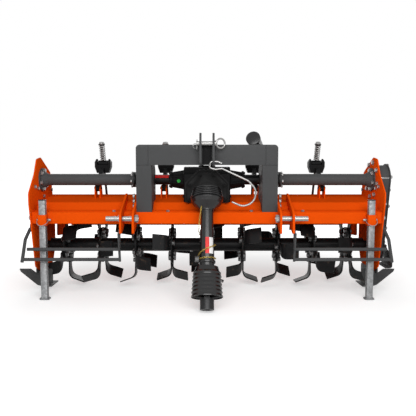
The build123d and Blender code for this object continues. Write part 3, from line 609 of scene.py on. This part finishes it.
def case_bolts():
    """Places and directions of the bolts round the drive case's cover."""
    face = high("drive_case_cover").x
    top, bottom = spot(0, *TUBE_AXIS), spot(0, *ROTOR_AXIS)
    axis = (bottom - top).normalized()
    across = Vector((0, -axis.z, axis.y))
    points = []
    for centre, radius, turns in CASE_RINGS:
        for turn in turns:
            angle = math.radians(turn)
            points.append(spot(0, *centre) + (axis * math.sin(angle) + across * math.cos(angle)) * radius)
    for share in CASE_SHARES:
        for side in SIDES:
            points.append(top.lerp(bottom, share) + across * side * CASE_HALF_WIDTH)
    return [(Vector((face, point.y, point.z)), Vector((1, 0, 0))) for point in points]


class TILLER_OT_fasteners(bpy.types.Operator):
    """Adds the bolts of the frame and the drive case's cover"""
    bl_idname = "tiller.fasteners"
    bl_label = "Fasteners"

    def execute(self, context):
        sizes = context.scene.tiller_fasteners
        large, small = frame_bolts()
        big = copies(hex_head(sizes.large, sizes.large_height, sizes.washer), large, "large_bolts")
        little = copies(hex_head(sizes.small, sizes.small_height, sizes.washer), small + case_bolts(),
                        "small_bolts")
        finished(joined([big, little], "frame_bolts"), "frame", "zinc_plated_steel")
        return {"FINISHED"}


# ---- rotor fasteners

class TillerRotor(bpy.types.PropertyGroup):
    """How the blades are bolted."""
    flanges: IntProperty(name="Flanges", description="Along the rotor", default=9)
    pitch: metres("Flange pitch", "From one flange to the next", 0.222)
    per_flange: IntProperty(name="Blades on a flange", description="Both hands together", default=6)
    step: FloatProperty(name="Helix step", description="Turn from one flange to the next",
                        default=math.radians(25), subtype="ANGLE")
    bolt: metres("Blade bolt", "Across the flats", 0.024)


BLADE_BOLT_RADII = (0.069, 0.098)               # off the rotor's axis
BLADE_FACE, FLANGE_FACE = 0.013, 0.005          # off the flange's middle
BLADE_BOLT_HEAD, BLADE_BOLT_NUT, BLADE_BOLT_WASHER = 0.011, 0.013, 0.003


class TILLER_OT_blade_bolts(bpy.types.Operator):
    """Adds the two bolts that hold each blade to its flange"""
    bl_idname = "tiller.blade_bolts"
    bl_label = "Blade bolts"

    def execute(self, context):
        rotor = context.scene.tiller_rotor
        heads, nuts = [], []
        for i in range(rotor.flanges):
            centre = spot((i - (rotor.flanges - 1) / 2) * rotor.pitch * 1000, *ROTOR_AXIS)
            for k in range(rotor.per_flange):
                outward = Vector((1 if k % 2 else -1, 0, 0))
                turn = i * rotor.step + k * 2 * math.pi / rotor.per_flange
                for radius in BLADE_BOLT_RADII:
                    place = centre + Vector((0, -math.sin(turn), math.cos(turn))) * radius
                    heads.append((place + outward * BLADE_FACE, outward))
                    nuts.append((place - outward * FLANGE_FACE, -outward))
        head = hex_head(rotor.bolt, BLADE_BOLT_HEAD, BLADE_BOLT_WASHER)
        nut = hex_head(rotor.bolt, BLADE_BOLT_NUT, BLADE_BOLT_WASHER)
        piece = joined([copies(head, heads, "heads"), copies(nut, nuts, "nuts")], "blade_bolts")
        finished(piece, "rotor", "oiled_steel")
        return {"FINISHED"}


# ---- door springs

class TillerSprings(bpy.types.PropertyGroup):
    """The coil springs over the door rods, and the rods' nuts."""
    wire: metres("Wire", "Radius of the spring wire", 0.0033)
    turns: IntProperty(name="Turns", description="Coils in each spring", default=8)
    radius: metres("Radius", "Outside of the coils", 0.020)
    length: metres("Length", "Of each spring", 0.112)
    start: metres("Spring start", "Up the rod from its swivel's centre", 0.0213)
    nut_start: metres("Nut start", "Up the rod from its swivel's centre", 0.1372)
    nut_radius: metres("Nut", "Radius of each rod's nut", 0.0168)
    nut_height: metres("Nut height", "Along the rod", 0.013)


ROD_PLACES = (-0.686, -0.271, 0.307, 0.722)     # across the machine


def rod_lines():
    """Each door rod's swivel centre and its direction upwards."""
    slide = next(joint for joint in frame["joints"] if joint["name"] == "rod_slide")
    up = Vector(slide["axis"]).normalized()
    swivels = middle("swivel_blocks")
    return [(Vector((x, swivels.y, swivels.z)), up) for x in ROD_PLACES]


class TILLER_OT_door_springs(bpy.types.Operator):
    """Winds the four coil springs and puts a nut on each rod"""
    bl_idname = "tiller.door_springs"
    bl_label = "Door springs"

    def execute(self, context):
        springs = context.scene.tiller_springs
        rods = rod_lines()
        deselect()
        bpy.ops.mesh.primitive_circle_add(vertices=8, radius=springs.wire, rotation=(math.radians(90), 0, 0),
                                          location=(springs.radius - springs.wire, 0, 0))
        coil = settle(bpy.context.object)
        winding = coil.modifiers.new("Winding", "SCREW")
        winding.axis = "Z"
        winding.iterations = springs.turns
        winding.screw_offset = (springs.length - springs.wire * 2) / springs.turns
        winding.steps = 20
        winding.render_steps = 20
        winding.use_normal_calculate = True
        pick(coil)
        bpy.ops.object.modifier_apply(modifier=winding.name)
        piece = copies(coil, [(foot + up * (springs.start + springs.wire), up) for foot, up in rods],
                       "coil_springs")
        pick(piece)
        bpy.ops.object.mode_set(mode="EDIT")
        bpy.ops.mesh.select_all(action="SELECT")
        bpy.ops.mesh.normals_make_consistent(inside=False)
        bpy.ops.object.mode_set(mode="OBJECT")
        finished(piece, "rod_swivels", "zinc_plated_steel", "door_springs", angle=60)
        nut = bevelled(round_bar((0, 0, 0), (0, 0, springs.nut_height), springs.nut_radius, 32), 0.004, 3)
        nuts = copies(nut, [(foot + up * springs.nut_start, up) for foot, up in rods], "rod_nuts")
        finished(nuts, "spring_rods", "zinc_plated_steel")
        return {"FINISHED"}


# ---- stand pins

class TillerPins(bpy.types.PropertyGroup):
    """The lock pins of the parking stands, and black end plugs on the stands as painted shade of the open tube
    ends.
    """
    radius: metres("Pin", "Radius of the lock pin", 0.0065)
    head_reach: metres("Head reach", "Out of the sleeve towards the machine's middle", 0.022)
    end_reach: metres("End reach", "Out of the sleeve's other side", 0.012)
    wire: metres("Loop wire", "Radius of the loop's wire", 0.0018)
    gap: metres("Loop gap", "Off the sleeve", 0.010)
    tilt: FloatProperty(name="Loop tilt", description="From level", default=math.radians(40), subtype="ANGLE")
    plug: metres("Shade plug height", "Above the stand", 0.005)


LOOP_STRETCH = (1, 1.35, 1)
LOOP_SHIFT, LOOP_CUT = 0.004, 0.006     # metres forward of the sleeve's middle, and back from it
SHADE_PLUG_SHARE = 1.62                       # the plug's side, in half widths of the sleeve


class TILLER_OT_stand_pins(bpy.types.Operator):
    """Adds the lock pin and its wire loop to each stand's sleeve, and a black end plug to each stand as painted
    shade of the open tube end
    """
    bl_idname = "tiller.stand_pins"
    bl_label = "Stand pins"

    def execute(self, context):
        pins = context.scene.tiller_pins
        made = []
        for side, inner in (("left", 1), ("right", -1)):
            centre = middle(side + "_stand_sleeve")
            half = (high(side + "_stand_sleeve").x - low(side + "_stand_sleeve").x) / 2
            for reach, way in ((pins.head_reach, inner), (pins.end_reach, -inner)):
                start = centre + Vector((way * half, 0, 0))
                pin = round_bar(start, start + Vector((way * reach, 0, 0)), pins.radius, 20)
                made.append(bevelled(pin, 0.0012))
            loop = wire_ring(half + pins.gap, pins.wire, 40, 8, centre - Vector((0, LOOP_SHIFT, 0)),
                             (pins.tilt, 0, 0), LOOP_STRETCH)
            edit_faces(loop, lambda face: face.calc_center_median().y > centre.y + LOOP_CUT)
            bpy.ops.mesh.delete(type="FACE")
            bpy.ops.object.mode_set(mode="OBJECT")
            made.append(loop)
            # a black plug on the stand's top: painted shade of the hollow open tube end
            top = high(side + "_stand").z + pins.plug / 2
            plug = block((centre.x, centre.y, top), (half * SHADE_PLUG_SHARE, half * SHADE_PLUG_SHARE, pins.plug))
            plug.name = side + "_stand_shade_plug"
            finished(bevelled(plug, 0.0015), side + "_stand", "black_plastic", angle=40)
        finished(joined(made, "stand_pins"), "frame", "zinc_plated_steel", angle=40)
        return {"FINISHED"}


# ---- gearbox and headstock fittings

# in spot's millimetres, or across and off the cross tubes' axis
CONE_RIB = ((139, 59), (214, 45))
HALF_STEP = 22.5                        # degrees, of eight ribs or bolts in a ring
END_FLANGE = (213, 226)
SIDE_BOLTS = ((140, 165, 590), (140, 165, 640), (140, 316, 590), (140, 316, 640))
FRONT_PLATE_RING = 112
LID_BACK, LID_BOTTOM, LID_TOP, LID_RING = 240, 766, 776, 38
LID_TURNS = (0.8, 2.36, 3.93, 5.5)
GEARBOX_PLUGS = (((-171, 183, 683), (-0.19, -0.97, -0.12)), ((0, 338, 640), (0, 1, 0)))
# the black panel between the top link ears is painted shade of the hollow between them
EAR_SHADE_PANEL, EAR_SHADE_PANEL_SIZE = (0, 34.5, 840), (0.054, 0.001, 0.108)
LYNCH_PIN, LYNCH_RING = ((-57, -2, 870), (-57, -2, 926)), (-67, -4, 889)
TRUMPET_LABEL, TRUMPET_LABEL_TURNS = -317, (22, 64)
# in metres: radii and a length, and the ring's number and first turn in radians
END_FLANGE_RADIUS, LID_RADIUS = 0.053, 0.052
TRUMPET_LABEL_RADIUS, TRUMPET_LABEL_LENGTH = 0.0312, 0.086
END_FLANGE_BOLTS = (0.043, 8, 0.39)
# heads: across the flats, height, washer
GEARBOX_HEAD = (0.013, 0.006, 0.001)
PLUG_HEAD = (0.017, 0.007, 0.003)
CASE_FRONT_HEAD = (0.013, 0.006, 0.0015)
CASE_PLUG_HEAD = (0.024, 0.009, 0.002)
# weld beads on both sides of the machine: start, end and share of the bead's radius
HEADSTOCK_WELDS = (
    ((340, 35, 783), (340, 35, 897), 1.0),
    ((322, 34.6, 781), (408, 34.6, 781), 0.7),
    ((30.5, 35, 783), (30.5, 35, 897), 1.0),
    ((43.5, 35, 783), (43.5, 35, 897), 1.0),
)
BEAM_WELDS = (
    ((409, 30, 442), (409, 30, 507), 1.0),
    ((422, 30, 442), (422, 30, 507), 1.0),
)


def round_tube(x, out=0, turn=0):
    """A place round the cross tubes' axis: millimetres across and off it, turned in radians."""
    back, up = TUBE_AXIS
    return spot(x, back + out * math.cos(turn), up + out * math.sin(turn))


def wrapped(origin, front, axis, radius, length, turns, name):
    """A thin label bent round a bar: it starts at the origin and runs along the axis between two turns."""
    side = front.cross(axis)
    deselect()
    bpy.ops.mesh.primitive_cylinder_add(vertices=180, radius=radius, depth=length, end_fill_type="NOTHING")
    label = bpy.context.object
    label.name = name
    basis = Matrix((side, front, axis)).transposed().to_4x4()
    label.matrix_world = Matrix.Translation(origin + axis * length / 2) @ basis
    settle(label)
    first, last = turns

    def outside(face):
        off = face.calc_center_median() - origin
        return not first <= math.degrees(math.atan2(off.dot(side), off.dot(front))) <= last

    edit_faces(label, outside)
    bpy.ops.mesh.delete(type="FACE")
    bpy.ops.object.mode_set(mode="OBJECT")
    return thickened(label, 0.0004, 1)


class TillerFittings(bpy.types.PropertyGroup):
    """Small fittings of the gearbox, the headstock and the drive case."""
    rib: metres("Cone rib", "Radius of the cast ribs on the gearbox cones", 0.0045)
    ribs: IntProperty(name="Ribs", description="On each cone", default=8)
    weld: metres("Weld bead", "Radius of the weld beads", 0.003)
    plug: rgb("Filler plug", "Of the gearbox plug", (0.01, 0.26, 0.03))
    label: rgb("Label red", "Of the blank labels", (0.62, 0.012, 0.01))


class TILLER_OT_gearbox_fittings(bpy.types.Operator):
    """Adds ribs, end flanges, lid, bolts, plugs and blank label to the gearbox"""
    bl_idname = "tiller.gearbox_fittings"
    bl_label = "Gearbox fittings"

    def execute(self, context):
        fittings = context.scene.tiller_fittings
        made, bolts = [], []
        for side in SIDES:
            for i in range(fittings.ribs):
                turn = math.radians(HALF_STEP + i * 360 / fittings.ribs)
                start, end = (round_tube(side * x, out, turn) for x, out in CONE_RIB)
                made.append(round_bar(start, end, fittings.rib, 12))
            start, end = (round_tube(side * x) for x in END_FLANGE)
            made.append(bevelled(round_bar(start, end, END_FLANGE_RADIUS, 64), 0.002))
            bolts += ring_of(end, Vector((side, 0, 0)), *END_FLANGE_BOLTS)
            for x, y, z in SIDE_BOLTS:
                bolts.append((spot(side * x, y, z), Vector((side, 0, 0))))
        plate = low("gearbox_front_plate").y
        for i in range(8):
            turn = math.radians(HALF_STEP + i * 45)
            if math.sin(turn) > -0.9:       # the two lowest are left out
                place = spot(FRONT_PLATE_RING * math.cos(turn), 0,
                             INPUT_JOINT[1] + FRONT_PLATE_RING * math.sin(turn))
                bolts.append((Vector((place.x, plate, place.z)), Vector((0, -1, 0))))
        lid = round_bar(spot(0, LID_BACK, LID_BOTTOM), spot(0, LID_BACK, LID_TOP), LID_RADIUS, 48)
        made.append(bevelled(lid, 0.0015))
        finished(joined(made, "gearbox_ribs"), "frame", "black_casting")
        for turn in LID_TURNS:
            place = spot(LID_RING * math.cos(turn), LID_BACK + LID_RING * math.sin(turn), LID_TOP)
            bolts.append((place, Vector((0, 0, 1))))
        heads = copies(hex_head(*GEARBOX_HEAD), bolts, "gearbox_bolts")
        finished(heads, "frame", "black_casting")
        plug = copies(hex_head(*PLUG_HEAD), [(spot(*place), facing) for place, facing in GEARBOX_PLUGS],
                      "gearbox_plugs")
        dressed(smoothed(plug), moulded_plastic("Green plug", tuple(fittings.plug)), "frame", "black_plastic")
        label = wrapped(round_tube(TRUMPET_LABEL), Vector((0, -1, 0)), Vector((1, 0, 0)), TRUMPET_LABEL_RADIUS,
                        TRUMPET_LABEL_LENGTH, TRUMPET_LABEL_TURNS, "trumpet_label")
        dressed(smoothed(label), moulded_plastic("Red label", tuple(fittings.label), 0.4), "frame",
                "black_plastic")
        return {"FINISHED"}


class TILLER_OT_headstock_fittings(bpy.types.Operator):
    """Adds weld beads, a thin black panel between the ears as painted shade, and the lynch pin of the top link pin
    """
    bl_idname = "tiller.headstock_fittings"
    bl_label = "Headstock fittings"

    def execute(self, context):
        self.welds(context, HEADSTOCK_WELDS, "headstock_welds", "grey_paint")
        self.welds(context, BEAM_WELDS, "beam_welds", "orange_paint")
        # a thin black panel between the ears: painted shade, not a part of the machine
        panel = block(spot(*EAR_SHADE_PANEL), EAR_SHADE_PANEL_SIZE)
        panel.name = "ear_shade_panel"
        finished(panel, "frame", "black_casting")
        start, end = (spot(*place) for place in LYNCH_PIN)
        pin = bevelled(round_bar(start, end, 0.0035, 16), 0.001)
        ring = wire_ring(0.0135, 0.0017, 36, 10, spot(*LYNCH_RING), (math.radians(90), 0, math.radians(20)))
        finished(joined([pin, ring], "lynch_pin"), "frame", "zinc_plated_steel", angle=40)
        return {"FINISHED"}

    def welds(self, context, lines, name, slot):
        weld = context.scene.tiller_fittings.weld
        beads = []
        for side in SIDES:
            for start, end, share in lines:
                start, end = (spot(side * x, y, z) for x, y, z in (start, end))
                beads.append(round_bar(start, end, weld * share, 10))
        finished(joined(beads, name), "frame", slot, angle=60)


# on the drive case, in spot's millimetres back and up
STRAP = (147.2, 702)
CASE_FRONT_BOLTS = ((174, 544), (191.6, 455))
CASE_FRONT_SLOPE = (0, -0.98, -0.19)
CASE_PLUG = (282, 480)


class TILLER_OT_case_fittings(bpy.types.Operator):
    """Adds the strap, the front bolts and the level plug of the drive case"""
    bl_idname = "tiller.case_fittings"
    bl_label = "Drive case fittings"

    def execute(self, context):
        inner, outer = low("drive_case").x * 1000, high("drive_case").x * 1000
        strap = block(spot((inner + outer) / 2, *STRAP), ((outer - inner) / 1000, 0.004, 0.007))
        strap = bevelled(strap, 0.0008)
        heads = [(spot(outer - 12, *place), CASE_FRONT_SLOPE) for place in CASE_FRONT_BOLTS]
        bolts = copies(hex_head(*CASE_FRONT_HEAD), heads, "case_front_bolts")
        plug = copies(hex_head(*CASE_PLUG_HEAD), [(spot(outer + 5, *CASE_PLUG), (1, 0, 0))], "case_plug")
        finished(joined([strap, bolts, plug], "case_fittings"), "frame", "zinc_plated_steel")
        return {"FINISHED"}


# ---- shaft fittings

def shaft_axes():
    """The drive shaft's rear joint, the direction towards the tractor, and the direction out of its front."""
    slide = next(joint for joint in frame["joints"] if joint["name"] == "shaft_slide")
    down = Vector(slide["axis"]).normalized()
    if down.z > 0:
        down = -down
    return spot(0, *INPUT_JOINT), down, down.cross(Vector((1, 0, 0)))


def round_shaft(along, turn, out):
    """A place by the shaft: millimetres down it, degrees round it from its front, millimetres off its axis."""
    joint, down, front = shaft_axes()
    angle = math.radians(turn)
    return joint + (down * along + (front * math.cos(angle) + Vector((1, 0, 0)) * math.sin(angle)) * out) / 1000


class TillerShaft(bpy.types.PropertyGroup):
    """The chain and labels of the drive shaft's guards."""
    wire: metres("Chain wire", "Radius of the chain's wire", 0.001)
    link: metres("Chain pitch", "From one link to the next", 0.0105)
    yellow: rgb("Chain yellow", "Of the chain", (0.45, 0.33, 0.07))
    white: rgb("Label white", "Of the blank half of the label", (0.7, 0.7, 0.7))


# the chain's way from the bell round the tubes: down the shaft, round it from its front, off its axis
CHAIN_ROUTE = ((97, -38, 51), (122, -50, 46.6), (215, -78, 46.6), (278, -180, 46.6), (316, -300, 46.6),
               (364, -432, 46.6), (378, -560, 46.6), (386, -650, 46.6), (391, -790, 46.6))
CHAIN_STEPS = 24                        # points on each stretch of the route
LINK_RADIUS, LINK_STRETCH = 0.0042, (1, 1.65, 1)
LABEL_START, LABEL_RADIUS, LABEL_LENGTH = 0.272, 0.0402, 0.092
LOCK_BLOCK, LOCK_BLOCK_SIZE = (388, -84, 55), (0.026, 0.022, 0.030)
LOCK_RING, LOCK_RING_INNER, LOCK_RING_OUTER = (398, 412), 0.0396, 0.047


def chain_places(pitch):
    """Places and directions of the chain's links, one pitch apart on its route."""
    points = []
    for start, end in zip(CHAIN_ROUTE, CHAIN_ROUTE[1:]):
        for i in range(CHAIN_STEPS):
            points.append(round_shaft(*Vector(start).lerp(Vector(end), i / CHAIN_STEPS)))
    places, walked, due = [], 0.0, 0.0
    for start, end in zip(points, points[1:]):
        step = (end - start).length
        while due <= walked + step:
            places.append((start.lerp(end, (due - walked) / step), end - start))
            due += pitch
        walked += step
    return places


class TILLER_OT_shaft_fittings(bpy.types.Operator):
    """Adds the chain, blank labels and lock block of the drive shaft's guards"""
    bl_idname = "tiller.shaft_fittings"
    bl_label = "Shaft fittings"

    def execute(self, context):
        shaft = context.scene.tiller_shaft
        places = chain_places(shaft.link)
        parts = []
        for first in (0, 1):
            link = wire_ring(LINK_RADIUS, shaft.wire, 14, 6, (0, 0, 0),
                             (math.radians(90), 0, first * math.radians(90)), LINK_STRETCH)
            parts.append(copies(link, places[first::2], "links"))
        chain = smoothed(joined(parts, "guard_chain"), 60)
        chain.data.materials.append(plated_steel("Yellow chain", tuple(shaft.yellow), 0.35))
        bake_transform(chain)
        joint, down, front = shaft_axes()
        for name, material, turns, tint in (
                ("label_red", "Red label", (-12, 18), context.scene.tiller_fittings.label),
                ("label_white", "White label", (18.5, 56), shaft.white)):
            label = wrapped(joint + down * LABEL_START, front, down, LABEL_RADIUS, LABEL_LENGTH, turns, name)
            finish = moulded_plastic(material, tuple(tint), 0.4)
            dressed(smoothed(label), finish, "shaft_front", "black_plastic")
        lock = block((0, 0, 0), LOCK_BLOCK_SIZE)
        basis = Matrix((Vector((1, 0, 0)), front, down)).transposed().to_4x4()
        lock.matrix_world = Matrix.Translation(round_shaft(*LOCK_BLOCK)) @ basis
        lock = bevelled(settle(lock), 0.003, 3)
        start, end = (round_shaft(along, 0, 0) for along in LOCK_RING)
        ring = bevelled(collar(start, end, LOCK_RING_INNER, LOCK_RING_OUTER, 64), 0.002)
        finished(joined([lock, ring], "lock_block"), "shaft_front", "black_plastic")
        return {"FINISHED"}


# ---- stage

def seen_or_mirrored(tree):
    """1 for what the camera sees directly, in a mirror finish or through glass, else 0."""
    path = tree.nodes.new("ShaderNodeLightPath")
    total = path.outputs["Is Camera Ray"]
    for ray in ("Is Glossy Ray", "Is Transmission Ray"):
        either = tree.nodes.new("ShaderNodeMath")
        either.operation = "MAXIMUM"
        tree.links.new(total, either.inputs[0])
        tree.links.new(path.outputs[ray], either.inputs[1])
        total = either.outputs[0]
    return total


class TillerStage(bpy.types.PropertyGroup):
    """Camera, lamps and floor."""
    camera_back: metres("Camera distance", "From the front beam's face to the camera", 3.03)
    camera_height: metres("Camera height", "Above the floor", 0.822)
    camera_tilt: FloatProperty(name="Camera tilt", description="Down from level", default=math.radians(5.45),
                               subtype="ANGLE")
    lens: FloatProperty(name="Lens", description="Focal length on a 36 mm sensor, in millimetres",
                        default=45.43)
    shift: FloatProperty(name="Lens shift", description="Sideways, as a share of the picture's width",
                         default=0.0024)
    sky: FloatProperty(name="World light", description="Strength of the even light round the machine",
                       default=0.31)
    key: FloatProperty(name="Key light", description="Power of the large lamp above the tractor side",
                       default=130.0, subtype="POWER")
    fill: FloatProperty(name="Rear light", description="Power of the lamp above the door side", default=42.0,
                        subtype="POWER")
    floor_lift: FloatProperty(name="Floor lift", description="Light added to the floor as the camera sees it",
                              default=0.42)
    floor_size: metres("Floor size", "Side of the floor", 30.0)


class TILLER_OT_stage(bpy.types.Operator):
    """Adds the floor, the lamps, the world and the camera"""
    bl_idname = "tiller.stage"
    bl_label = "Stage"

    def execute(self, context):
        stage = context.scene.tiller_stage
        face = low("front_beam").y
        centre = middle("front_beam").x
        self.floor(stage)
        self.world(context, stage)
        self.lamps(stage, face, centre)
        lens = bpy.data.cameras.new("Camera")
        lens.lens = stage.lens
        lens.sensor_width = 36
        lens.shift_x = stage.shift
        camera = bpy.data.objects.new("Camera", lens)
        camera.location = (centre, face - stage.camera_back, FLOOR + stage.camera_height)
        camera.rotation_euler = (math.radians(90) - stage.camera_tilt, 0, 0)
        context.collection.objects.link(camera)
        context.scene.camera = camera
        context.scene.view_settings.view_transform = "Standard"
        return {"FINISHED"}

    def floor(self, stage):
        deselect()
        bpy.ops.mesh.primitive_plane_add(size=stage.floor_size, location=(0, 0, FLOOR))
        floor = bpy.context.object
        floor.name = "Floor"
        settle(floor)
        material = bpy.data.materials.new("Pale floor")
        material.use_nodes = True
        tree = material.node_tree
        tree.nodes.clear()
        matt = tree.nodes.new("ShaderNodeBsdfDiffuse")
        matt.inputs["Color"].default_value = (0.8, 0.8, 0.8, 1)
        seen = tree.nodes.new("ShaderNodeMath")
        seen.operation = "MULTIPLY"
        place = tree.nodes.new("ShaderNodeTexCoord")
        far = tree.nodes.new("ShaderNodeVectorMath")
        far.operation = "LENGTH"
        tree.links.new(place.outputs["Object"], far.inputs[0])
        spread = tree.nodes.new("ShaderNodeMapRange")
        for socket, value in (("From Min", 1.1), ("From Max", 3.2),
                              ("To Min", stage.floor_lift), ("To Max", 0.9)):
            spread.inputs[socket].default_value = value
        tree.links.new(far.outputs["Value"], spread.inputs["Value"])
        tree.links.new(spread.outputs["Result"], seen.inputs[1])
        tree.links.new(seen_or_mirrored(tree), seen.inputs[0])
        lift = tree.nodes.new("ShaderNodeEmission")
        lift.inputs["Color"].default_value = (1, 1, 1, 1)
        tree.links.new(seen.outputs[0], lift.inputs["Strength"])
        both = tree.nodes.new("ShaderNodeAddShader")
        tree.links.new(matt.outputs[0], both.inputs[0])
        tree.links.new(lift.outputs[0], both.inputs[1])
        output = tree.nodes.new("ShaderNodeOutputMaterial")
        tree.links.new(both.outputs[0], output.inputs["Surface"])
        floor.data.materials.append(material)

    def world(self, context, stage):
        world = bpy.data.worlds.new("Soft white")
        context.scene.world = world
        world.use_nodes = True
        tree = world.node_tree
        tree.nodes.clear()
        mix = tree.nodes.new("ShaderNodeMixShader")
        for socket, strength in ((1, stage.sky), (2, 1.0)):     # what lights, and what is seen
            white = tree.nodes.new("ShaderNodeBackground")
            white.inputs["Color"].default_value = (1, 1, 1, 1)
            white.inputs["Strength"].default_value = strength
            tree.links.new(white.outputs[0], mix.inputs[socket])
        output = tree.nodes.new("ShaderNodeOutputWorld")
        tree.links.new(seen_or_mirrored(tree), mix.inputs["Fac"])
        tree.links.new(mix.outputs[0], output.inputs["Surface"])

    def lamps(self, stage, face, centre):
        aim = Vector((centre, face + 0.2, FLOOR + 0.4))
        for name, power, place in (("Key", stage.key, (centre + 0.2, face - 3.2, FLOOR + 2.1)),
                                   ("Rear", stage.fill, (centre - 0.8, face + 4.0, FLOOR + 1.8))):
            light = bpy.data.lights.new(name, "AREA")
            light.shape = "RECTANGLE"
            light.size = 3.5
            light.size_y = 2.0
            light.energy = power
            lamp = bpy.data.objects.new(name, light)
            lamp.location = place
            lamp.rotation_euler = (aim - lamp.location).to_track_quat("-Z", "Y").to_euler()
            bpy.context.collection.objects.link(lamp)


class TILLER_PT_panel(bpy.types.Panel):
    """Lists the tiller's operators."""
    bl_idname = "TILLER_PT_panel"
    bl_label = "Rotary tiller"
    bl_space_type = "VIEW_3D"
    bl_region_type = "UI"
    bl_category = "Tiller"

    def draw(self, context):
        for step in STEPS:
            self.layout.operator(step.bl_idname)


GROUPS = (
    ("tiller_finishes", TillerFinishes),
    ("tiller_fasteners", TillerFasteners),
    ("tiller_rotor", TillerRotor),
    ("tiller_springs", TillerSprings),
    ("tiller_pins", TillerPins),
    ("tiller_fittings", TillerFittings),
    ("tiller_shaft", TillerShaft),
    ("tiller_stage", TillerStage),
)
STEPS = (
    TILLER_OT_finishes, TILLER_OT_rounded_plates, TILLER_OT_fasteners, TILLER_OT_blade_bolts,
    TILLER_OT_door_springs, TILLER_OT_stand_pins, TILLER_OT_gearbox_fittings, TILLER_OT_headstock_fittings,
    TILLER_OT_case_fittings, TILLER_OT_shaft_fittings, TILLER_OT_stage,
)


def register():
    for name, group in GROUPS:
        bpy.utils.register_class(group)
        setattr(bpy.types.Scene, name, PointerProperty(type=group))
    for step in (*STEPS, TILLER_PT_panel):
        bpy.utils.register_class(step)


def unregister():
    for step in (*STEPS, TILLER_PT_panel):
        bpy.utils.unregister_class(step)
    for name, group in GROUPS:
        delattr(bpy.types.Scene, name)
        bpy.utils.unregister_class(group)


def main():
    register()
    deselect()
    for step in STEPS:
        family, action = step.bl_idname.split(".")
        getattr(getattr(bpy.ops, family), action)()


if __name__ == "__main__":
    main()
